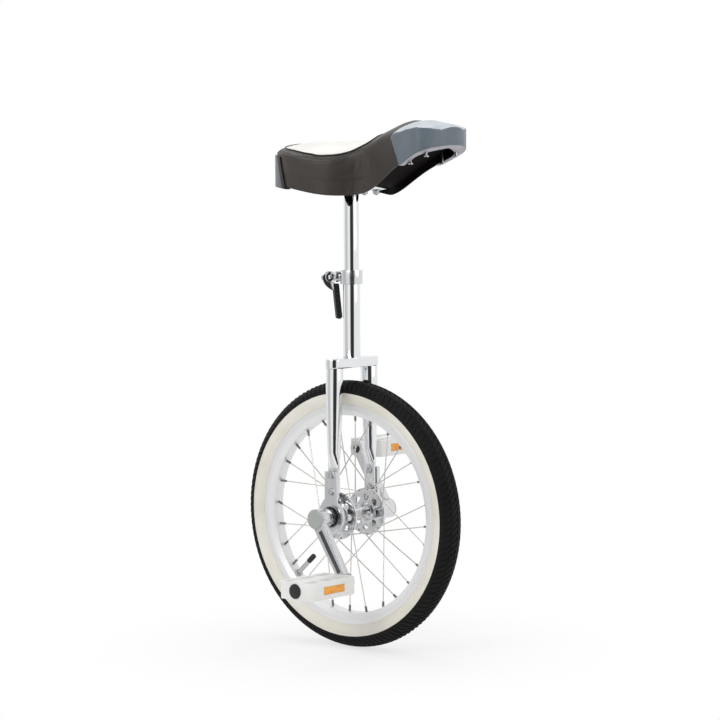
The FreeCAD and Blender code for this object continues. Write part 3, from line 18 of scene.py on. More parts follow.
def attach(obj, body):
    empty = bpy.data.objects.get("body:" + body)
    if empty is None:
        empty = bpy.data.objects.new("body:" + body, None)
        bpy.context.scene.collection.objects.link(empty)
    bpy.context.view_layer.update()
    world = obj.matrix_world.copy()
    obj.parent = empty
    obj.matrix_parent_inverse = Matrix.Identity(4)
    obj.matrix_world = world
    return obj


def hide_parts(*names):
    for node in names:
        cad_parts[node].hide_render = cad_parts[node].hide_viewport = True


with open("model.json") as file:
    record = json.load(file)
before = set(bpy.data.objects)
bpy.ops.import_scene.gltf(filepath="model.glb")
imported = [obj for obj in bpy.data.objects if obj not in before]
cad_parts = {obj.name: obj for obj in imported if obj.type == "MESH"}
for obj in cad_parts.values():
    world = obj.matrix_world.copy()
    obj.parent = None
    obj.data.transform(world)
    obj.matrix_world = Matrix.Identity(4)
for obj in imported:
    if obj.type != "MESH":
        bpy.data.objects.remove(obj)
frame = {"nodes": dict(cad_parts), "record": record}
scene = bpy.context.scene
nodes = frame["nodes"]
body_of_node = {node: body for body, members in frame["record"]["behaviour"]["bodies"].items()
                for node in members}
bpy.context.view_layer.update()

# %% [markdown]
# ## The camera comes first
# A long lens from the rider's front right, as high as the saddle and tilted down a little, keeps
# the upright lines almost parallel, as in a catalogue picture.  The look is set by one point, two
# angles and a small roll, so it can be read and changed without trial and error.

# %% Camera
MM = 0.001
EYE, FOCAL_LENGTH = Vector((2.73075, -3.19911, 0.7864)), 127.035
TURN, TILT, ROLL = (math.radians(degrees) for degrees in (40.3, -4.173, -0.244))


def aim(eye, turn, tilt, roll):
    """Camera matrix from a place, a turn about up from +Y towards -X, a tilt above level and a roll."""
    forward = Vector((-math.sin(turn) * math.cos(tilt), math.cos(turn) * math.cos(tilt),
                      math.sin(tilt)))
    right = forward.cross(Vector((0, 0, 1))).normalized()
    up = right.cross(forward)
    right_rolled = right * math.cos(roll) + up * math.sin(roll)
    up_rolled = up * math.cos(roll) - right * math.sin(roll)
    axes = Matrix((right_rolled, up_rolled, -forward)).transposed().to_4x4()
    return Matrix.Translation(eye) @ axes


camera_data = bpy.data.cameras.new("catalogue_lens")
camera_data.lens = FOCAL_LENGTH
camera_data.sensor_width = 36
camera_data.clip_end = 60
camera = bpy.data.objects.new("catalogue_camera", camera_data)
camera.matrix_world = aim(EYE, TURN, TILT, ROLL)
scene.collection.objects.link(camera)
scene.camera = camera
print("camera at", [round(value, 3) for value in camera.location], "lens", camera_data.lens)

# %% [markdown]
# ## Helpers for materials
# Each finish is a small node tree.  One function turns a colour as a designer writes it, in sRGB
# hex, into the linear numbers that the shader wants, and one adds a node with its settings and
# links.  Patterns read Object coordinates, which are metres here, so a scale of 1000 makes one
# unit a millimetre.

# %% Colour and node helpers
MOTTLE_DETAIL, TINT_SPREAD = 4.0, (0.35, 0.65)


def linear(hex_colour):
    """sRGB hex to linear red, green and blue with full alpha."""
    values = [int(hex_colour[start:start + 2], 16) / 255 for start in (1, 3, 5)]
    return [value / 12.92 if value <= 0.04045 else ((value + 0.055) / 1.055) ** 2.4
            for value in values] + [1]


def add(tree, kind, settings=None, inputs=None, links=None):
    """Add a node: settings are its properties, inputs its sockets' values, links what feeds them."""
    node = tree.nodes.new(kind)
    for name, value in (settings or {}).items():
        setattr(node, name, value)
    for name, value in (inputs or {}).items():
        node.inputs[name].default_value = value
    for name, source in (links or {}).items():
        tree.links.new(source, node.inputs[name])
    return node


def new_material(name, colour, roughness, metallic=0.0, **extra):
    """Material with one Principled shader, and its tree, shader and Object coordinates."""
    material = bpy.data.materials.new(name)
    material.use_nodes = True
    tree = material.node_tree
    shader = tree.nodes["Principled BSDF"]
    shader.inputs["Base Color"].default_value = linear(colour)
    shader.inputs["Roughness"].default_value = roughness
    shader.inputs["Metallic"].default_value = metallic
    for socket, value in extra.items():
        shader.inputs[socket.replace("_", " ")].default_value = value
    where = add(tree, "ShaderNodeTexCoord").outputs["Object"]
    return material, tree, shader, where


def noise_in(tree, where, scale, detail):
    """The grey value of a noise at a scale, for whatever it drives."""
    return add(tree, "ShaderNodeTexNoise", inputs={"Scale": scale, "Detail": detail},
               links={"Vector": where}).outputs["Fac"]


def vary(tree, shader, where, scale, low, high):
    """Feed the roughness with noise that runs from low to high."""
    spread = add(tree, "ShaderNodeMapRange", inputs={"To Min": low, "To Max": high},
                 links={"Value": noise_in(tree, where, scale, MOTTLE_DETAIL)})
    tree.links.new(spread.outputs["Result"], shader.inputs["Roughness"])


def tint(tree, shader, where, scale, first, second):
    """Mottle the base colour between two hex colours."""
    ramp = add(tree, "ShaderNodeValToRGB",
               links={"Fac": noise_in(tree, where, scale, MOTTLE_DETAIL)})
    for stop, place, colour in zip(ramp.color_ramp.elements, TINT_SPREAD, (first, second)):
        stop.position = place
        stop.color = linear(colour)
    tree.links.new(ramp.outputs["Color"], shader.inputs["Base Color"])


def bump(tree, shader, height, distance, strength=1.0):
    """Turn a height between 0 and 1 into a bump of that many metres."""
    relief = add(tree, "ShaderNodeBump", inputs={"Distance": distance, "Strength": strength},
                 links={"Height": height})
    tree.links.new(relief.outputs["Normal"], shader.inputs["Normal"])


def ease(tree, value, low, high, first=0.0, last=1.0):
    """Smooth step of a value between two limits, from a first to a last result."""
    return add(tree, "ShaderNodeMapRange", {"interpolation_type": "SMOOTHSTEP"},
               {"From Min": low, "From Max": high, "To Min": first, "To Max": last},
               {"Value": value}).outputs["Result"]


def reckon(tree, operation, first, second):
    """Result of one operation on two numbers."""
    return add(tree, "ShaderNodeMath", {"operation": operation},
               links={0: first, 1: second}).outputs["Value"]


def mix(tree, share, first, second):
    """Blend of two shaders, by the share of the second."""
    return add(tree, "ShaderNodeMixShader",
               links={"Fac": share, 1: first, 2: second}).outputs["Shader"]


def finish(name, colour, roughness, mottle=None, metallic=0.0, tints=None, grain=None, **extra):
    """Material from its parts: mottle is a noise's scale with the least and most roughness, tints
    a scale and two colours, grain a noise's scale and detail with a bump's depth and strength."""
    material, tree, shader, where = new_material(name, colour, roughness, metallic, **extra)
    if mottle:
        vary(tree, shader, where, *mottle)
    if tints:
        tint(tree, shader, where, *tints)
    if grain:
        bump(tree, shader, noise_in(tree, where, *grain[:2]), *grain[2:])
    return material


# %% [markdown]
# ## Metals
# Chrome plate mirrors the room, so its colour is nearly white and its roughness almost nothing;
# a trace of unevenness in the roughness is what buffing leaves.  Polished alloy is softer.
# Stainless spokes and zinc plated bolts are drawn and barrel finished, so they blur what they
# mirror.  Every metal keeps the default index of refraction.

# %% Metal finishes
chrome = finish("buffed_chrome_plate", "#E4E6E8", 0.05, (60, 0.03, 0.10), metallic=1.0)
polished_alloy = finish("tumbled_polished_alloy", "#D6D7D9", 0.2, (90, 0.14, 0.30), metallic=1.0,
                        grain=(700, 2, 0.04 * MM, 0.5))
# The dark alloy below is a painted reflection: the dark that the cranks' polished flutes mirror, not a
# finish of their own.
painted_reflection_alloy = finish("painted_flute_reflection_alloy", "#5B5D60", 0.4, (200, 0.34, 0.48), metallic=1.0)
rim_alloy = finish("brushed_silver_rim", "#ECECED", 0.3, (40, 0.30, 0.44), metallic=0.5,
                   grain=(1500, 3, 0.03 * MM, 0.4))
stainless = finish("drawn_stainless_wire", "#D6D4D0", 0.3, (300, 0.18, 0.32), metallic=1.0)
zinc = finish("barrel_finished_zinc", "#BFC1C2", 0.3, (400, 0.22, 0.42), metallic=1.0)
hard_steel = finish("ground_bearing_steel", "#AEB0B2", 0.18, (500, 0.14, 0.26), metallic=1.0)
nickel_brass = finish("nickelled_brass", "#837F79", 0.32, (500, 0.26, 0.42), metallic=1.0)
print("metals made:", len(bpy.data.materials))

# %% [markdown]
# ## Rubber, plastic and vinyl
# The tyre's black tread and its cream side wall are one moulding in two compounds, so the carcass
# takes two materials and chooses one for each face by the distance from the axle.  Moulded plastics
# differ in gloss: the white pedals are smooth, the bumpers have a fine spark-eroded grain.  The
# saddle's cover is vinyl with a leather grain: white on top, dark brown round the sides.

# %% Rubber and plastic finishes
HUB = Vector((0, 0, 223 * MM))

black_rubber = finish("moulded_black_rubber", "#0C0B0B", 0.7, (150, 0.62, 0.78),
                      tints=(25, "#080707", "#100E0D"), grain=(1400, 3, 0.1 * MM, 0.6),
                      Specular_IOR_Level=0.25)
cream_rubber = finish("cream_side_wall_rubber", "#D9D4C6", 0.5, tints=(18, "#E4E0D4", "#EEEBE2"),
                      grain=(900, 3, 0.08 * MM, 0.5))

grip_rubber, tree, shader, where = new_material("ribbed_grip_rubber", "#131313", 0.55)
ribs = add(tree, "ShaderNodeTexWave", {"wave_type": "BANDS", "bands_direction": "Z"},
           {"Scale": 90, "Distortion": 0.0}, {"Vector": where})
bump(tree, shader, ribs.outputs["Fac"], 0.5 * MM, 0.7)

# This black nylon is the real colour of caps, seals and plugs. It is also painted shade on the spindles'
# inner ends and on the rear bumper's strip.
black_nylon_and_painted_shade = finish("grained_black_nylon_and_painted_shade", "#161616", 0.42, (200, 0.36, 0.52),
                       grain=(1600, 2, 0.06 * MM, 0.5))
white_plastic = finish("moulded_white_polypropylene", "#EDEDEA", 0.32, (80, 0.26, 0.40),
                       tints=(12, "#E8E8E4", "#F1F1EF"))
grey_plastic = finish("moulded_grey_cap_plastic", "#A9ADA9", 0.4, (200, 0.34, 0.5))


def bumper_finish(name, first, second):
    """Moulded plastic with a fine spark-eroded grain."""
    material, tree, shader, where = new_material(name, first, 0.36)
    vary(tree, shader, where, 90, 0.30, 0.46)
    tint(tree, shader, where, 30, first, second)
    grain = add(tree, "ShaderNodeTexVoronoi", inputs={"Scale": 1300}, links={"Vector": where})
    bump(tree, shader, grain.outputs["Distance"], 0.06 * MM, 0.5)
    return material


bumper_plastic = bumper_finish("grained_slate_bumper_plastic", "#5D6870", "#68737B")
# The paler bumper plastic is a painted highlight: the front bumper's top, lit at a grazing angle.
painted_highlight_plastic = bumper_finish("painted_highlight_bumper_plastic", "#B4BEC5", "#C6CFD5")
lip_plastic = bumper_finish("smooth_pale_lip_plastic", "#97929C", "#A59FA9")
rear_plastic = bumper_finish("grained_dark_bumper_plastic", "#52545A", "#5E6066")

nylon = finish("moulded_nylon", "#6B4326", 0.5, (300, 0.42, 0.6))
# This near black is the real colour of the saddle's base. It is also painted shade on the inner face of
# the skirt.
dark_base_and_painted_shade = finish("moulded_dark_base_and_painted_shade", "#080403", 0.8, (150, 0.74, 0.88),
                      Specular_IOR_Level=0.08)

amber, tree, shader, where = new_material("moulded_amber_lens", "#F29A0C", 0.18, Coat_Weight=0.6)
prisms = add(tree, "ShaderNodeTexVoronoi", {"distance": "CHEBYCHEV"},
             {"Scale": 420, "Randomness": 0.0}, {"Vector": where})
bump(tree, shader, prisms.outputs["Distance"], 0.6 * MM, 0.8)
tint(tree, shader, where, 60, "#EE9208", "#F9AA1C")

print("materials so far:", len(bpy.data.materials))

# %% Vinyl finishes
FOLD_REACH, FOLD_SCALE, CELL_SHOULDER = 1.2 * MM, 0.4, 0.28


def vinyl(name, first, second, roughness, grain_size, depth):
    """Vinyl with a leather grain: cells of a given size in metres, folded by a finer noise."""
    material, tree, shader, where = new_material(name, first, roughness, Coat_Weight=0.08)
    tint(tree, shader, where, 22, first, second)
    ripple = add(tree, "ShaderNodeTexNoise", inputs={"Scale": FOLD_SCALE / grain_size, "Detail": 3},
                 links={"Vector": where})
    bent = add(tree, "ShaderNodeVectorMath", {"operation": "MULTIPLY_ADD"}, {1: (FOLD_REACH,) * 3},
               {0: ripple.outputs["Color"], 2: where})
    cells = add(tree, "ShaderNodeTexVoronoi", {"feature": "DISTANCE_TO_EDGE"}, {"Scale": 1 / grain_size},
                {"Vector": bent.outputs["Vector"]})
    bump(tree, shader, ease(tree, cells.outputs["Distance"], 0.0, CELL_SHOULDER), depth, 0.6)
    return material


side_vinyl = vinyl("embossed_brown_vinyl", "#2D2723", "#352E29", 0.5, 1.6 * MM, 0.12 * MM)
top_vinyl = vinyl("embossed_white_vinyl", "#E9E7E2", "#F0EFEB", 0.42, 1.8 * MM, 0.12 * MM)
piping_vinyl = vinyl("plain_black_vinyl", "#191817", "#201F1E", 0.4, 1.4 * MM, 0.08 * MM)
print("vinyls:", side_vinyl.name, top_vinyl.name, piping_vinyl.name)

# %% [markdown]
# ## Turned, swept and repeated shapes
# Most of a wheel is round, so a lathe function turns a profile about an axis.  Wires and levers
# follow a line, so a tube function sweeps a circle along points.  What repeats round the axle,
# such as spokes, nipples and tread blocks, is drawn once and copied by one Geometry Nodes tree,
# whose result is then kept as a plain mesh.

# %% Mesh helpers
def bake(piece):
    """Apply an object's modifiers to its mesh."""
    bpy.context.view_layer.update()
    depsgraph = bpy.context.evaluated_depsgraph_get()
    mesh = bpy.data.meshes.new_from_object(piece.evaluated_get(depsgraph), depsgraph=depsgraph)
    piece.modifiers.clear()
    piece.data = mesh
    return piece


def shape(piece, kind, **settings):
    """Add a modifier with its settings, to be applied by bake."""
    modifier = piece.modifiers.new(kind.lower(), kind)
    for name, value in settings.items():
        setattr(modifier, name, value)
    return modifier


def new_piece(name, points, faces, materials, body, slot, stands_for=(), smooth=35, choose=None):
    """Make a mesh object with smooth faces, note its body, and say which node it stands for."""
    mesh = bpy.data.meshes.new(name)
    mesh.from_pydata([tuple(point) for point in points], [], faces)
    for material in materials:
        mesh.materials.append(material)
    if choose is not None:
        for face in mesh.polygons:
            face.material_index = choose(face.center)
    work = bmesh.new()
    work.from_mesh(mesh)
    bmesh.ops.remove_doubles(work, verts=work.verts, dist=1e-6)
    bmesh.ops.recalc_face_normals(work, faces=work.faces)
    work.to_mesh(mesh)
    work.free()
    mesh.shade_smooth()
    mesh.set_sharp_from_angle(angle=math.radians(smooth))
    piece = bpy.data.objects.new(name, mesh)
    scene.collection.objects.link(piece)
    return mark(piece, body, slot, stands_for)


def mark(piece, body, slot, stands_for=()):
    """Note a piece's body, its slot, and the nodes that it stands for."""
    piece["slot"] = slot
    piece["body"] = body
    piece["stands_for"] = list(stands_for)
    return piece


def settle(piece):
    """Hand a finished piece to the frame."""
    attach(piece, piece["body"])
    if len(piece["stands_for"]):
        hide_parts(*piece["stands_for"])
    return piece


def lathe(profile, segments):
    """Points and faces of a closed ring turned about the axle from (along, radius) pairs."""
    points = []
    for step in range(segments):
        turn = 2 * math.pi * step / segments
        for along, radius in profile:
            points.append(HUB + Vector((radius * math.cos(turn), along, radius * math.sin(turn))))
    count = len(profile)
    faces = []
    for step in range(segments):
        here, ahead = step * count, ((step + 1) % segments) * count
        for index in range(count):
            after = (index + 1) % count
            faces.append((here + index, here + after, ahead + after, ahead + index))
    return points, faces


def tube(path, radius, sides):
    """Points and faces of a round wire with closed ends that follows a path."""
    points, faces = [], []
    side = None
    for index, spot in enumerate(path):
        before, after = path[max(index - 1, 0)], path[min(index + 1, len(path) - 1)]
        along = (after - before).normalized()
        side = along.orthogonal() if side is None else side - along * side.dot(along)
        side = side.normalized()
        other = along.cross(side)
        for corner in range(sides):
            turn = 2 * math.pi * corner / sides
            points.append(spot + (side * math.cos(turn) + other * math.sin(turn)) * radius)
    for ring in range(len(path) - 1):
        for corner in range(sides):
            nearby = (corner + 1) % sides
            faces.append((ring * sides + corner, ring * sides + nearby,
                          (ring + 1) * sides + nearby, (ring + 1) * sides + corner))
    faces.append(tuple(range(sides)))
    faces.append(tuple((len(path) - 1) * sides + corner for corner in range(sides)))
    return points, faces


# %% A Geometry Nodes tree that copies a shape round an axle
def copies_tree():
    """Tree that sets a number of copies of a shape evenly round an axle, and paints them."""
    tree = bpy.data.node_groups.new("copies_round_axle", "GeometryNodeTree")
    for name, kind in (("Geometry", "Geometry"), ("Count", "Int"), ("Centre", "Vector"),
                       ("Axle", "Vector"), ("Material", "Material")):
        tree.interface.new_socket(name, in_out="INPUT", socket_type="NodeSocket" + kind)
    tree.interface.new_socket("Geometry", in_out="OUTPUT", socket_type="NodeSocketGeometry")
    given = add(tree, "NodeGroupInput").outputs
    back = add(tree, "ShaderNodeVectorMath", {"operation": "SCALE"}, {"Scale": -1.0},
               {0: given["Centre"]})
    centred = add(tree, "GeometryNodeTransform", links={"Geometry": given["Geometry"],
                                                        "Translation": back.outputs["Vector"]})
    seats = add(tree, "GeometryNodeMeshLine", inputs={"Offset": (0, 0, 0)},
                links={"Count": given["Count"], "Start Location": given["Centre"]})
    index = add(tree, "GeometryNodeInputIndex").outputs["Index"]
    turn = add(tree, "ShaderNodeMath", {"operation": "MULTIPLY"}, {1: 2 * math.pi},
               {0: reckon(tree, "DIVIDE", index, given["Count"])})
    rotation = add(tree, "FunctionNodeAxisAngleToRotation",
                   links={"Axis": given["Axle"], "Angle": turn.outputs["Value"]})
    copies = add(tree, "GeometryNodeInstanceOnPoints",
                 links={"Points": seats.outputs["Mesh"], "Instance": centred.outputs["Geometry"],
                        "Rotation": rotation.outputs["Rotation"]})
    real = add(tree, "GeometryNodeRealizeInstances", links={"Geometry": copies.outputs["Instances"]})
    painted = add(tree, "GeometryNodeSetMaterial", links={"Geometry": real.outputs["Geometry"],
                                                          "Material": given["Material"]})
    add(tree, "NodeGroupOutput", links={"Geometry": painted.outputs["Geometry"]})
    return tree


ROUND_AXLE = copies_tree()


def round_the_axle(piece, count, material):
    """Run the tree on a piece and keep the plain mesh that it makes."""
    values = {"Count": count, "Centre": tuple(HUB), "Axle": (0, 1, 0), "Material": material}
    modifier = shape(piece, "NODES", node_group=ROUND_AXLE)
    for item in ROUND_AXLE.interface.items_tree:
        if item.in_out == "INPUT" and item.name in values:
            modifier[item.identifier] = values[item.name]
    return bake(piece)


def join(pieces):
    """Join pieces into the first one."""
    work = bmesh.new()
    for piece in pieces:
        work.from_mesh(piece.data)
    first = pieces[0]
    work.to_mesh(first.data)
    work.free()
    for piece in pieces[1:]:
        bpy.data.objects.remove(piece)
    return first


print("tree inputs:", [item.name for item in ROUND_AXLE.interface.items_tree])

# %% [markdown]
# ## The tyre
# A whitewall tyre has a round black carcass with a shallow tread, and a band of cream rubber from
# its shoulder down to the rim.  The carcass is turned from a circle of the tyre's own section.
# The tread is a set of slanting blocks that stand a little over a millimetre proud; four are
# drawn, two on each side of the middle, and the tree copies them all round.

# %% Tyre carcass
TYRE_RADIUS, TYRE_HALF, TREAD = 223 * MM, 23 * MM, 1.3 * MM
RIM_EDGE, BAND_TOP, BAND_MARGIN = 183.5 * MM, 202.5 * MM, 0.2 * MM
BAND_PROUD, WALL_PROUD, CARCASS_DEPTH = 0.7 * MM, 0.1 * MM, 8 * MM
CARCASS = TYRE_HALF - TREAD
RING_MIDDLE = TYRE_RADIUS - TYRE_HALF
WHEEL_SEGMENTS = 240


def mirrored(profile):
    """The other half of a (along, radius) profile, in the order that goes on round."""
    return [(-along, radius) for along, radius in reversed(profile)]


def section_point(angle, lift=0.0):
    """Point on the tyre's section: angle 0 is the tread's middle and 90 the widest place."""
    turn = math.radians(angle)
    radius = CARCASS + lift
    return radius * math.sin(turn), RING_MIDDLE + radius * math.cos(turn)


def tyre_profile():
    """Section of the tyre: tread, step to the side wall, side wall, ridge and bead."""
    band_angle = math.degrees(math.acos((BAND_TOP - RING_MIDDLE) / CARCASS))
    outer = [section_point(angle) for angle in range(0, 80, 4)]
    side = [section_point(band_angle + past, lift) for past, lift in
            ((-1.2, 0.0), (-0.8, BAND_PROUD), (2.4, BAND_PROUD), (3.4, WALL_PROUD))]
    low = [section_point(angle, WALL_PROUD) for angle in range(96, 128, 5)]
    ridge = [section_point(angle, BAND_PROUD) for angle in (130, 133)]
    bead = [(across * MM, RIM_EDGE + rise * MM) for across, rise in
            ((16.4, 0.7), (14.2, -0.4), (13.0, -5), (9.8, -5.6))]
    right = outer + side + low + ridge + bead
    return right + [(0.0, RING_MIDDLE - CARCASS_DEPTH)] + mirrored(right[1:])


def band_or_tread(spot):
    """Finish of a face of the tyre: 1 on the cream side wall and 0 on the black tread."""
    from_axle = spot - HUB
    return int(math.hypot(from_axle.x, from_axle.z) < BAND_TOP + BAND_MARGIN)


points, faces = lathe(tyre_profile(), WHEEL_SEGMENTS)
carcass = new_piece("tyre_carcass", points, faces, [black_rubber, cream_rubber], "wheel", "tyre_rubber",
                    ["tyre"], smooth=50, choose=band_or_tread)
print("carcass faces:", len(carcass.data.polygons))

# %% Tread blocks
TREAD_COUNT = 132
BLOCK_STEPS, BLOCK_ROOT, BLOCK_SHARE = 5, -0.6 * MM, 0.62
TOP_TAPER, END_TAPER = 0.86, 0.25


def tread_block(first, last, width, slant, start):
    """Slanting block on the tread: from one section angle to another, its ends shifted round."""
    points = []
    for lift in (BLOCK_ROOT, TREAD):
        for step in range(BLOCK_STEPS + 1):
            share = step / BLOCK_STEPS
            angle = first + (last - first) * share
            along, radius = section_point(angle, lift)
            middle = start + slant * share
            half = width / 2 * (1.0 if lift < 0 else TOP_TAPER) * (1 - END_TAPER * share)
            for side in (-half, half):
                turn = (middle + side) / TYRE_RADIUS
                points.append(HUB + Vector((radius * math.sin(turn), along, radius * math.cos(turn))))
    faces = []
    top = 2 * (BLOCK_STEPS + 1)
    for step in range(BLOCK_STEPS):
        a, b, c, d = 2 * step, 2 * step + 1, 2 * step + 3, 2 * step + 2
        faces += [(a, d, c, b), (top + a, top + b, top + c, top + d),
                  (a, top + a, top + d, d), (b, c, top + c, top + b)]
    end = 2 * BLOCK_STEPS
    faces += [(0, 1, top + 1, top), (end, top + end, top + end + 1, end + 1)]
    return points, faces


blocks = []
pitch = 2 * math.pi * TYRE_RADIUS / TREAD_COUNT
for name, first, last, slant, start in (
        ("left_inner", 2, 30, 9 * MM, 0.0),
        ("left_outer", 33, 68, 7 * MM, 3 * MM),
        ("right_inner", -2, -30, 9 * MM, pitch / 2),
        ("right_outer", -33, -68, 7 * MM, pitch / 2 + 3 * MM)):
    points, faces = tread_block(first, last, pitch * BLOCK_SHARE, slant, start)
    block = new_piece("tread_" + name, points, faces, [black_rubber], "wheel", "tyre_rubber",
                      smooth=30)
    blocks.append(round_the_axle(block, TREAD_COUNT, black_rubber))
tread = join(blocks)
tread.name = "tyre_tread_blocks"
settle(carcass)
settle(tread)
print("tread blocks:", 4 * TREAD_COUNT, "faces:", len(tread.data.polygons))

# %% [markdown]
# ## Rim, spokes and nipples
# The rim is a rolled and brushed alloy channel, so it is turned like the tyre, with softened
# edges.  Twenty-eight wires cross twice between it and the hub.  Four wires are drawn, one for
# each face of each flange, and seven copies of each go round.

# %% Rim
def rim_profile():
    """Section of the rim: rounded lips, bead seats, the well between them and the outer walls."""
    half, lip = 15.5 * MM, 13.5 * MM
    edge, seat, bed = RIM_EDGE, RIM_EDGE - 6 * MM, 165 * MM
    right = [(half - 0.4 * MM, edge), (lip + 0.3 * MM, edge), (lip, edge - 0.5 * MM), (lip, seat),
             (10.4 * MM, seat), (8.8 * MM, bed + 2 * MM)]
    below = [(9.2 * MM, bed), (10.6 * MM, bed + 0.3 * MM), (14.9 * MM, edge - 10.4 * MM),
             (half, edge - 9 * MM), (half, edge - 0.5 * MM)]
    return right + mirrored(right) + mirrored(below) + below


points, faces = lathe(rim_profile(), WHEEL_SEGMENTS)
rim = settle(new_piece("rim_channel", points, faces, [rim_alloy], "wheel", "alloy_rim", ["rim"],
                       smooth=28))
print("rim faces:", len(rim.data.polygons))

# %% Spokes and nipples
SPOKES, CROSSED = 28, 4
PITCH = 2 * math.pi / SPOKES
VALVE_TURN = math.radians(222.6)
FLANGE, FLANGE_HOLES, RIM_END = 36 * MM, 37 * MM, 166 * MM
HEAD_INSIDE, BEND_OUTSIDE, OUTER_BOW, INNER_BOW = 1.6 * MM, 2.5 * MM, 1.4 * MM, 0.15 * MM
WIRE, HEAD_RADIUS, NIPPLE_RADIUS, NIPPLE_LENGTH = 1.0 * MM, 1.9 * MM, 2.0 * MM, 11 * MM


def on_wheel(turn, radius, across):
    """Point at a turn and a radius about the axle, and a place along it."""
    return HUB + Vector((radius * math.cos(turn), across, radius * math.sin(turn)))


def spoke_line(index):
    """Head, bend and rim end of one spoke: the same rule as the solid spokes."""
    sign = -1 if index % 2 == 0 else 1
    leads = 1 if (index // 2) % 2 == 0 else -1
    rim_turn = VALVE_TURN + PITCH * (index + 0.5)
    hub_turn = rim_turn + leads * CROSSED * PITCH
    bend_across = FLANGE + leads * (BEND_OUTSIDE + (OUTER_BOW if leads > 0 else INNER_BOW))
    head_across = FLANGE - leads * HEAD_INSIDE
    head = on_wheel(hub_turn, FLANGE_HOLES, sign * head_across)
    bend = on_wheel(hub_turn, FLANGE_HOLES, sign * bend_across)
    rim_end = on_wheel(rim_turn, RIM_END, 0)
    outward = Vector((0, -sign * leads, 0))
    return head, bend, rim_end, outward


wires, nipples = [], []
for index in range(4):
    head, bend, rim_end, outward = spoke_line(index)
    along = (rim_end - bend).normalized()
    elbow = [head, bend.lerp(head, 0.35), bend.lerp(head, 0.12) + along * 0.15 * MM,
             bend + along * 0.9 * MM]
    points, faces = tube(elbow + [bend + along * 3 * MM, rim_end + along * 2 * MM], WIRE, 10)
    button, button_faces = tube([head - outward * 0.2 * MM, head + outward * 0.5 * MM,
                                 head + outward * 1.2 * MM], HEAD_RADIUS, 12)
    shift = len(points)
    points += button
    faces += [tuple(corner + shift for corner in face) for face in button_faces]
    wire = new_piece(f"spokes_{index}", points, faces, [stainless], "wheel", "steel_wire",
                     smooth=50)
    wires.append(round_the_axle(wire, SPOKES // 4, stainless))
    barrel_end, shoulder = rim_end - along * NIPPLE_LENGTH, rim_end - along * 0.5 * MM
    points, faces = tube([barrel_end, barrel_end + along * 0.6 * MM, barrel_end + along * 0.7 * MM,
                          shoulder, shoulder + along * 0.1 * MM, rim_end + along * 3.5 * MM],
                         NIPPLE_RADIUS, 12)
    nipple = new_piece(f"nipples_{index}", points, faces, [nickel_brass], "wheel", "brass_plated",
                       smooth=40)
    nipples.append(round_the_axle(nipple, SPOKES // 4, nickel_brass))
spokes = join(wires)
spokes.name = "laced_spokes"
spokes["stands_for"] = ["spokes_right", "spokes_left"]
settle(spokes)
nipple_set = join(nipples)
nipple_set.name = "laced_nipples"
nipple_set["stands_for"] = ["spoke_nipples"]
settle(nipple_set)
print("spokes:", SPOKES, "from", [round(value / MM) for value in spoke_line(0)[1]], "mm")

# %% [markdown]
# ## Rounding and finishing the solid pieces
# The solid pieces have true shapes but knife-sharp edges, and no made thing has those.  Each
# visible one is copied, its triangles are merged back into clean faces, its edges are rounded by
# a bevel, and it gets the finish that the real piece has.  The copy stands in for the solid,
# which stays hidden for the motion model.

# %% Dress a solid piece
slot_of_node = {part["node"]: part["material_slot"] for part in frame["record"]["subparts"]}
WELD, FLAT, CREASE, SHARP_FROM = 2e-6, math.radians(0.6), 32, 42


def round_edges(piece, width, crease):
    """Bevel the edges that fold more sharply than an angle in degrees."""
    shape(piece, "BEVEL", width=width, segments=2, limit_method="ANGLE",
          angle_limit=math.radians(crease))
    bake(piece)


def dress(node, name, finishes, soften, choose=None):
    """Copy a solid piece, clean its mesh, round its edges and give it its finish."""
    mesh = nodes[node].data.copy()
    work = bmesh.new()
    work.from_mesh(mesh)
    bmesh.ops.remove_doubles(work, verts=work.verts, dist=WELD)
    bmesh.ops.dissolve_limit(work, angle_limit=FLAT, verts=work.verts, edges=work.edges)
    work.to_mesh(mesh)
    work.free()
    mesh.materials.clear()
    for material in finishes:
        mesh.materials.append(material)
    mesh.shade_smooth()
    piece = bpy.data.objects.new(name, mesh)
    scene.collection.objects.link(piece)
    round_edges(piece, soften, CREASE)
    for face in piece.data.polygons:
        face.material_index = choose(face.center, face.normal) if choose else 0
    piece.data.set_sharp_from_angle(angle=math.radians(SHARP_FROM))
    settle(mark(piece, body_of_node[node], slot_of_node[node], [node]))


# %% The frame, in chrome and polished alloy
for node in ("seat_tube", "fork_crown", "fork_leg_right", "fork_leg_left", "seat_post",
             "saddle_bracket"):
    dress(node, "chromed_" + node, [chrome], 0.5 * MM)
for node in ("bearing_holder_right", "bearing_holder_left"):
    dress(node, "cast_" + node, [polished_alloy], 0.6 * MM)
for node in ("holder_bolts", "holder_nuts", "saddle_studs", "saddle_nuts", "bumper_screws",
             "valve_stem"):
    dress(node, "plated_" + node, [zinc], 0.2 * MM)

# %% The clamp
dress("seat_clamp_collar", "polished_clamp_collar", [polished_alloy], 0.5 * MM)
dress("clamp_cam_seat", "polished_cam_seat", [polished_alloy], 0.3 * MM)
dress("clamp_lever", "chromed_clamp_lever", [chrome], 0.5 * MM)
dress("clamp_lever_grip", "rubber_lever_grip", [grip_rubber], 1.0 * MM)
dress("clamp_nut", "polished_clamp_nut", [polished_alloy], 0.4 * MM)
dress("clamp_skewer", "plated_clamp_skewer", [zinc], 0.2 * MM)
dress("clamp_lever_pin", "plated_lever_pin", [zinc], 0.2 * MM)
print("clamp pieces:", [node for node in body_of_node if node.startswith("clamp")])

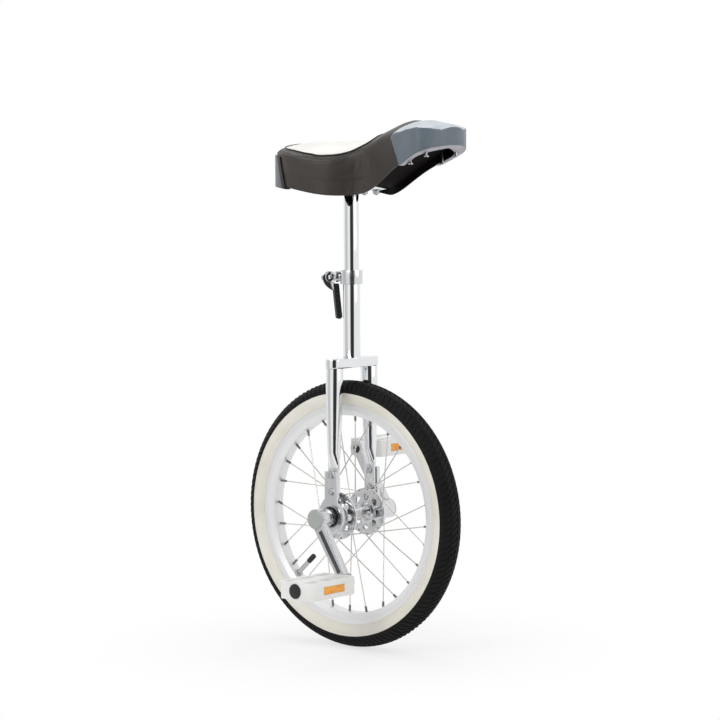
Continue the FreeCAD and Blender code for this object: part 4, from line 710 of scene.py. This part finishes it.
# %% The hub and the cranks
dress("hub_shell", "polished_hub_shell", [polished_alloy], 0.5 * MM)
dress("valve_cap", "moulded_valve_cap", [black_nylon_and_painted_shade], 0.3 * MM)
dress("valve_nut", "plated_valve_nut", [zinc], 0.2 * MM)
dress("hub_axle", "ground_hub_axle", [hard_steel], 0.3 * MM)
FLUTE_FLOOR, FLUTE_MARGIN, SPINDLE_INNER = 93 * MM, 0.2 * MM, 84 * MM


def flute_floor(spot, normal):
    """The floor of the crank's flute, painted dark as the reflection that its polished surface shows."""
    return int(abs(abs(spot.y) - FLUTE_FLOOR) < FLUTE_MARGIN and abs(normal.y) > 0.9)


def painted_shade_spindle_end(spot, normal):
    """The inner end of a pedal spindle, seen through the crank from the wheel's side, painted black as
    the shade in the crank's bore.
    """
    return int(normal.y * spot.y < -0.5 * abs(spot.y) and abs(spot.y) < SPINDLE_INNER)


# The floor of each crank's flute gets a painted reflection: dark alloy.
for side in ("right", "left"):
    dress("crank_" + side, "forged_crank_" + side, [polished_alloy, painted_reflection_alloy], 0.7 * MM,
          choose=flute_floor)
    # The inner end of each spindle gets painted shade: black, as the shade in the crank's bore.
    dress("pedal_spindle_" + side, "turned_spindle_" + side, [zinc, black_nylon_and_painted_shade], 0.3 * MM,
          choose=painted_shade_spindle_end)
    dress("pedal_body_" + side, "moulded_pedal_" + side, [white_plastic], 1.2 * MM)
    dress("pedal_cap_" + side, "moulded_pedal_cap_" + side, [black_nylon_and_painted_shade], 0.4 * MM)
    dress("pedal_reflectors_" + side, "amber_reflectors_" + side, [amber], 0.6 * MM)
dress("crank_caps", "moulded_crank_caps", [grey_plastic], 0.5 * MM)

# %% Pieces that stay as the solid model has them
INNER = {"bearing_inner_rings": hard_steel, "bearing_outer_rings": hard_steel,
         "bearing_balls": hard_steel, "bearing_cages": nylon, "bearing_seals": black_nylon_and_painted_shade,
         "inner_tube": black_rubber, "rim_tape": black_rubber, "crank_bolts": zinc,
         "pedal_nut_right": zinc, "pedal_nut_left": zinc, "pedal_bushes_right": nylon,
         "pedal_bushes_left": nylon, "seat_post_plug": black_nylon_and_painted_shade, "saddle_base": dark_base_and_painted_shade}
for node, material in INNER.items():
    for place in nodes[node].material_slots:
        place.material = material
print("inner pieces finished:", len(INNER))

# %% [markdown]
# ## The padded saddle
# A saddle is foam on a stiff base with vinyl pulled over it: a white top at the rear and dark
# vinyl round the sides and over the neck.  The foam block is copied and remeshed into one even
# skin.  Cloth under a little pressure puffs it between its held lower edge and the bumpers, the
# skin is moved out to the cover's own surface, and one subdivision smooths it.  Seams come last,
# because a remesh would erase them: a piped cord is laid on the skin along the edge of the top.

# %% Saddle skin
SEAT = 753 * MM
UNDERSIDE_LINE = [(-116, 19), (-96, 17), (-70, 14), (-20, 5), (15, 0), (45, 0), (68, 5), (98, 22),
                  (139, 47), (165, 59), (187, 70), (203, 77), (213, 81)]


def height_on(line, x):
    """Height of a line of (forward, height) points, in millimetres over the seat, at a distance."""
    forward = min(max(x / MM, line[0][0]), line[-1][0])
    for (before, low), (after, high) in zip(line, line[1:]):
        if forward <= after:
            return SEAT + (low + (high - low) * (forward - before) / (after - before)) * MM
    return SEAT + line[-1][1] * MM


def ramp(value, low, high):
    """Smooth step from 0 at low to 1 at high."""
    share = min(max((value - low) / (high - low), 0), 1)
    return share * share * (3 - 2 * share)


def merged_copy(name, node, split=None):
    """Object with a copy of a solid piece's mesh, its triangles merged, cut along a plane if any."""
    work = bmesh.new()
    work.from_mesh(nodes[node].data)
    bmesh.ops.remove_doubles(work, verts=work.verts, dist=WELD)
    if split:
        geometry = work.verts[:] + work.edges[:] + work.faces[:]
        bmesh.ops.bisect_plane(work, geom=geometry, plane_co=split[0], plane_no=split[1])
    mesh = bpy.data.meshes.new(name)
    work.to_mesh(mesh)
    work.free()
    piece = bpy.data.objects.new(name, mesh)
    scene.collection.objects.link(piece)
    return piece


def paint(piece, finishes, choose):
    """Give a mesh its finishes, choose one for each face, and shade it smooth."""
    piece.data.materials.clear()
    for material in finishes:
        piece.data.materials.append(material)
    for face in piece.data.polygons:
        face.material_index = choose(face.center, face.normal)
    piece.data.shade_smooth()


pad = merged_copy("padded_saddle", "saddle_foam")
shape(pad, "REMESH", mode="VOXEL", voxel_size=4 * MM)
bake(pad)
shape(pad, "SMOOTH", factor=0.5, iterations=3)
bake(pad)
print("saddle skin points:", len(pad.data.vertices))

# %% Puff the saddle
FRONT_GRIP, FRONT_FADE, REAR_GRIP, REAR_FADE = 112 * MM, 30 * MM, -80 * MM, 20 * MM
HELD_BELOW, FREE_ABOVE = 20 * MM, 42 * MM
PUFF_PRESSURE, PUFF_CAP, PUFF_FRAMES, STIFFNESS = 4.0, 2 * MM, 20, 12


def freedom(spot):
    """How far a point of the skin may move: 1 on the open pad, 0 near bumpers and lower edge."""
    ahead = ramp(FRONT_GRIP - spot.x, 0, FRONT_FADE)
    behind = ramp(spot.x - REAR_GRIP, 0, REAR_FADE)
    rise = spot.z - height_on(UNDERSIDE_LINE, spot.x)
    return ahead * behind * ramp(rise, HELD_BELOW, FREE_ABOVE)


def puff(piece, pressure, cap):
    """Run cloth under pressure for some frames and keep its capped result."""
    rest = [vertex.co.copy() for vertex in piece.data.vertices]
    group = piece.vertex_groups.new(name="held")
    for vertex in piece.data.vertices:
        group.add([vertex.index], 1 - freedom(vertex.co), "REPLACE")
    cloth = piece.modifiers.new("cloth", "CLOTH")
    cloth.settings.quality = 5
    cloth.settings.mass = 0.3
    cloth.settings.use_pressure = True
    cloth.settings.uniform_pressure_force = pressure
    cloth.settings.tension_stiffness = STIFFNESS
    cloth.settings.compression_stiffness = STIFFNESS
    cloth.settings.bending_stiffness = 0.5
    cloth.settings.vertex_group_mass = "held"
    cloth.settings.effector_weights.gravity = 0
    cloth.collision_settings.use_collision = False
    for step in range(1, PUFF_FRAMES + 1):
        scene.frame_set(step)
    bake(piece)
    scene.frame_set(1)
    furthest = 0.0
    for vertex, start in zip(piece.data.vertices, rest):
        move = vertex.co - start
        limit = cap * freedom(start)
        if move.length > limit:
            move = move.normalized() * limit if limit > 0 else Vector()
        vertex.co = start + move
        furthest = max(furthest, move.length)
    piece.vertex_groups.clear()
    return furthest


print("saddle puffed by", round(puff(pad, PUFF_PRESSURE, PUFF_CAP) / MM, 2), "mm")

# %% Draw the skin out to the cover
COVER_DEPTH, FOOT_SHARE, RISE_SHARE = 2.35 * MM, 0.2, 0.92
FOOT_TOP, COVER_FROM = 17 * MM, 25 * MM
BUMPER_FROM, BUMPER_FULL, BUMPER_ROOM = 126 * MM, 140 * MM, 1.3 * MM


def draw_out(piece):
    """Move the skin out by the cover's thickness, less at its foot and under the front bumper."""
    piece.data.update()
    normals = [vertex.normal.copy() for vertex in piece.data.vertices]
    for vertex, normal in zip(piece.data.vertices, normals):
        height = vertex.co.z - height_on(UNDERSIDE_LINE, vertex.co.x)
        rise = ramp(height, FOOT_TOP, COVER_FROM)
        under_bumper = ramp(vertex.co.x, BUMPER_FROM, BUMPER_FULL)
        vertex.co += normal * (COVER_DEPTH * (FOOT_SHARE + RISE_SHARE * rise)
                               - BUMPER_ROOM * under_bumper)


draw_out(pad)
shape(pad, "SUBSURF", levels=1, render_levels=1)
bake(pad)
print("saddle faces:", len(pad.data.polygons))

# %% Edge of the white top
TOP_EDGE = [(-102, 38), (-91, 59), (-68, 75.5), (-20, 80), (15, 70), (45, 48), (64, 34), (74, 22),
            (77, 0)]
TOP_FACING, LOOP_STEPS = 0.2, 8


def smooth_loop(points, steps):
    """Closed smooth curve through points, by Catmull and Rom's rule."""
    loop = []
    count = len(points)
    for index in range(count):
        before, start, end, after = (points[(index + shift) % count] for shift in (-1, 0, 1, 2))
        for step in range(steps):
            share = step / steps
            loop.append(0.5 * (2 * start + (end - before) * share
                               + (2 * before - 5 * start + 4 * end - after) * share ** 2
                               + (3 * start - before - 3 * end + after) * share ** 3))
    return loop


half = [Vector((forward, -across)) * MM for forward, across in TOP_EDGE]
other_half = [Vector((spot.x, -spot.y)) for spot in reversed(half[:-1])]
outline = smooth_loop(half + other_half, LOOP_STEPS)


def inside_outline(spot):
    """Whether a point lies inside the top's edge, seen from above."""
    inside = False
    for here, there in zip(outline, outline[1:] + outline[:1]):
        if (here.y > spot.y) != (there.y > spot.y):
            if spot.x < here.x + (there.x - here.x) * (spot.y - here.y) / (there.y - here.y):
                inside = not inside
    return inside


def saddle_part(spot, normal):
    """Finish of a face of the pad: 1 on its white top and 0 on its dark sides."""
    return int(normal.z > TOP_FACING and inside_outline(spot.xy))


paint(pad, (side_vinyl, top_vinyl), saddle_part)
print("points of the top's edge:", len(outline))

# %% Piping along the edge
ABOVE, DOWN = 1.2, Vector((0, 0, -1))
PIPING_RADIUS, PIPING_LIFT = 1.3 * MM, 0.5 * MM
SPINE_REAR, SPINE_NOSE = -60 * MM, 180 * MM
skin = bmesh.new()
skin.from_mesh(pad.data)
surface = BVHTree.FromBMesh(skin)
path = []
for spot in outline:
    hit, normal, _, _ = surface.ray_cast(Vector((spot.x, spot.y, ABOVE)), DOWN)
    path.append(hit + normal * PIPING_LIFT)
skin.free()
points, faces = tube(path + path[:2], PIPING_RADIUS, 8)
settle(new_piece("saddle_piping", points, faces, [piping_vinyl], "seat",
                 slot_of_node["saddle_side_cover"], smooth=60))
settle(mark(pad, "seat", slot_of_node["saddle_top_cover"], ["saddle_foam", "saddle_top_cover"]))


def painted_shade_skirt_inside(spot, normal):
    """The inner face of the skirt, which faces the spine, painted near black as the shade under the
    saddle.
    """
    spine = min(max(spot.x, SPINE_REAR), SPINE_NOSE)
    outward = Vector((spot.x - spine, spot.y, 0))
    return int(normal.dot(outward) < -0.2 * outward.length)


# The skirt's inner face gets painted shade: near black, as the shade under the saddle.
dress("saddle_side_cover", "vinyl_saddle_skirt", [side_vinyl, dark_base_and_painted_shade], 0.6 * MM,
      choose=painted_shade_skirt_inside)
print("piping points:", len(path))

# %% [markdown]
# ## The bumpers
# Moulded plastic caps take the knocks at both ends of the saddle when the unicycle is dropped.
# The front one is copied, and its roof is cut back so that its edge curves forward over the nose
# and leaves a strip of vinyl bare.  A fine remesh and some smoothing round it all over, as a
# moulding is.  Its top is painted paler as a highlight, and its rolled lip underneath is a
# smoother, paler grey.
# In the solid, the clearance holes of the two screws nearest the nose run on up through the roof.
# A moulding would not have such holes, so two plugs close them here; the solid still has them.
# The rear bumper keeps its shape, but a strip along its open edge is painted black, as the shadow of the
# gap beside the saddle.

# %% Front bumper
ROOF_EDGE = [(96, 84), (121, 84), (123.5, 92), (129, 99), (137, 105), (148, 111), (160, 116),
             (172, 122), (96, 150)]
ROOF_FOOT, ROOF_FACING, LIP_FACING, LIP_DEPTH = 92 * MM, 0.62, -0.6, 3 * MM
CUTTER_HALF = 90 * MM
PLUG_X, PLUG_Y, PLUG_RADIUS, PLUG_REACH = 190 * MM, 38 * MM, 3.2 * MM, 4 * MM
PLUG_BOTTOM, PLUG_TOP = 2.2 * MM, 0.1 * MM


def side_cutter(outline, half_width):
    """Prism across the whole saddle from a side outline in millimetres over the seat."""
    count = len(outline)
    points = [Vector((forward * MM, side * half_width, SEAT + height * MM))
              for side in (-1, 1) for forward, height in outline]
    faces = [tuple(range(count)), tuple(reversed(range(count, 2 * count)))]
    faces += [(corner, count + corner, count + (corner + 1) % count, (corner + 1) % count)
              for corner in range(count)]
    return new_piece("side_cutter", points, faces, [bumper_plastic], "seat", "bumper_grey")


def bumper_part(spot, normal):
    """Finish of a face of the front bumper: 1 on its top, painted paler as a highlight, 2 on its lip and
    0 elsewhere.
    """
    if normal.z > ROOF_FACING and spot.z > SEAT + ROOF_FOOT:
        return 1
    lip_top = height_on(UNDERSIDE_LINE, spot.x) + LIP_DEPTH
    return 2 if normal.z < LIP_FACING and spot.z < lip_top else 0


front = merged_copy("moulded_front_bumper", "front_bumper")
cutter = side_cutter(ROOF_EDGE, CUTTER_HALF)
shape(front, "BOOLEAN", operation="DIFFERENCE", solver="EXACT", object=cutter)
bake(front)
bpy.data.objects.remove(cutter)
shell = bmesh.new()
shell.from_mesh(front.data)
roof = BVHTree.FromBMesh(shell)
shell.free()
plugs = []
for side in (-1, 1):
    around = [roof.ray_cast(Vector((PLUG_X + step, side * PLUG_Y, ABOVE)), DOWN)[0].z
              for step in (-PLUG_REACH, PLUG_REACH)]
    level = sum(around) / 2
    ends = [Vector((PLUG_X, side * PLUG_Y, level - depth)) for depth in (PLUG_BOTTOM, PLUG_TOP)]
    points, faces = tube(ends, PLUG_RADIUS, 16)
    plugs.append(new_piece("roof_plug", points, faces, [bumper_plastic], "seat", "bumper_grey"))
join([front] + plugs)
shape(front, "REMESH", mode="VOXEL", voxel_size=1.2 * MM)
shape(front, "SMOOTH", factor=0.5, iterations=10)
bake(front)
paint(front, (bumper_plastic, painted_highlight_plastic, lip_plastic), bumper_part)
settle(mark(front, "seat", slot_of_node["front_bumper"], ["front_bumper"]))
print("front bumper faces:", len(front.data.polygons))

# %% Rear bumper
REAR_EDGE, REAR_LEVEL, REAR_LEAN = -70 * MM, 28 * MM, math.radians(17)
SHADOW_BAND, REAR_SOFTEN, REAR_CREASE, REAR_SHARP = 9 * MM, 0.8 * MM, 40, 45
leaning = Vector((math.cos(REAR_LEAN), 0, math.sin(REAR_LEAN)))
band_start = Vector((REAR_EDGE, 0, SEAT + REAR_LEVEL)) - leaning * SHADOW_BAND


def rear_part(spot, normal):
    """Finish of a face of the rear bumper: 1 on the strip along its open edge, painted black as the
    shadow of the gap beside the saddle.
    """
    return int((spot - band_start).dot(leaning) > 0)


# The strip along the open edge is painted shadow: black, as the gap beside the saddle.
rear = merged_copy("moulded_rear_bumper", "rear_bumper", split=(band_start, leaning))
round_edges(rear, REAR_SOFTEN, REAR_CREASE)
paint(rear, (rear_plastic, black_nylon_and_painted_shade), rear_part)
rear.data.set_sharp_from_angle(angle=math.radians(REAR_SHARP))
settle(mark(rear, "seat", slot_of_node["rear_bumper"], ["rear_bumper"]))
print("rear bumper faces:", len(rear.data.polygons))

# %% [markdown]
# ## Floor and light
# A pale floor runs out into a white surround.  Three large soft lamps and an even sky light the
# pieces at a plain level.  Chrome needs something to mirror: the sky is white to it, but for a
# dark strip near the camera, which draws the dark line down each tube that says chrome, and a
# slightly dimmer panel at the rider's rear right.

# %% Floor
FLOOR_HALF, FLOOR_DROP = 30, 0.5 * MM
WHITE = (1, 1, 1, 1)
GLOW_FADE, MIRROR_FADE = (0.1, 0.5, 0.7, 1.0), (0.3, 0.8)
floor_mesh = bpy.data.meshes.new("pale_floor")
corners = [(x * FLOOR_HALF, y * FLOOR_HALF, -FLOOR_DROP)
           for x, y in ((-1, -1), (1, -1), (1, 1), (-1, 1))]
floor_mesh.from_pydata(corners, [], [(0, 1, 2, 3)])
floor = bpy.data.objects.new("pale_floor", floor_mesh)
scene.collection.objects.link(floor)
floor_paint, tree, shader, where = new_material("matt_white_floor", "#F4F4F4", 0.9)
glow = add(tree, "ShaderNodeEmission", inputs={"Color": WHITE, "Strength": 1.0})
rays = add(tree, "ShaderNodeLightPath").outputs
seen = reckon(tree, "MAXIMUM", rays["Is Camera Ray"], rays["Is Glossy Ray"])
away = add(tree, "ShaderNodeVectorMath", {"operation": "LENGTH"}, links={0: where}).outputs["Value"]
share = reckon(tree, "MULTIPLY", seen, ease(tree, away, *GLOW_FADE))
blend = mix(tree, share, shader.outputs["BSDF"], glow.outputs["Emission"])
open_share = reckon(tree, "MULTIPLY", rays["Is Glossy Ray"], ease(tree, away, *MIRROR_FADE))
cleared = mix(tree, open_share, blend, add(tree, "ShaderNodeBsdfTransparent").outputs["BSDF"])
tree.links.new(cleared, tree.nodes["Material Output"].inputs["Surface"])
floor_mesh.materials.append(floor_paint)
print("floor", 2 * FLOOR_HALF, "m across")

# %% Sky
STRIP_SIDE, PANEL_SIDE = (0.731, -0.682, 0), (-0.649, -0.761, 0)
STRIP_EDGE, PANEL_EDGE = (0.87, 0.95, 1.0, 0.04), (0.86, 0.97, 1.0, 0.66)
world = bpy.data.worlds.new("studio")
world.use_nodes = True
scene.world = world
tree = world.node_tree
tree.nodes.clear()
direction = add(tree, "ShaderNodeTexCoord").outputs["Generated"]
level = add(tree, "ShaderNodeVectorMath", {"operation": "MULTIPLY"}, {1: (1, 1, 0)}, {0: direction})
unit = add(tree, "ShaderNodeVectorMath", {"operation": "NORMALIZE"},
           links={0: level.outputs["Vector"]})
facing = add(tree, "ShaderNodeVectorMath", {"operation": "DOT_PRODUCT"}, {1: STRIP_SIDE},
             {0: unit.outputs["Vector"]})
side = add(tree, "ShaderNodeVectorMath", {"operation": "DOT_PRODUCT"}, {1: PANEL_SIDE},
           {0: unit.outputs["Vector"]})
dimmed = reckon(tree, "MULTIPLY", ease(tree, facing.outputs["Value"], *STRIP_EDGE),
                ease(tree, side.outputs["Value"], *PANEL_EDGE))
reflected = add(tree, "ShaderNodeBackground", inputs={"Color": WHITE}, links={"Strength": dimmed})
even = add(tree, "ShaderNodeBackground", inputs={"Color": WHITE, "Strength": 0.62})
plain = add(tree, "ShaderNodeBackground", inputs={"Color": WHITE, "Strength": 1.0})
rays = add(tree, "ShaderNodeLightPath").outputs
lit = mix(tree, rays["Is Glossy Ray"], even.outputs["Background"], reflected.outputs["Background"])
open_view = reckon(tree, "MAXIMUM", rays["Is Camera Ray"], rays["Is Transmission Ray"])
final = mix(tree, open_view, lit, plain.outputs["Background"])
add(tree, "ShaderNodeOutputWorld", links={"Surface": final})
print("sky nodes:", len(tree.nodes))


# %% Lamps
def softbox(name, at, target, width, height, power):
    """Area lamp that faces a point."""
    light = bpy.data.lights.new(name, "AREA")
    light.shape = "RECTANGLE"
    light.size, light.size_y = width, height
    light.energy = power
    lamp = bpy.data.objects.new(name, light)
    scene.collection.objects.link(lamp)
    place = Vector(at)
    facing = (Vector(target) - place).to_track_quat("-Z", "Y")
    lamp.matrix_world = Matrix.Translation(place) @ facing.to_matrix().to_4x4()


softbox("key_softbox", (0.2, -2.6, 2.3), (0, 0, 0.5), 1.6, 1.6, 26)
softbox("fill_softbox", (2.8, 0.6, 1.6), (0, 0, 0.5), 1.6, 1.8, 14)
softbox("top_softbox", (-0.6, 0.4, 2.8), (0, 0, 0.6), 1.8, 1.8, 16)
scene.view_settings.view_transform = "Standard"
print("lamps:", [light.name for light in bpy.data.lights])
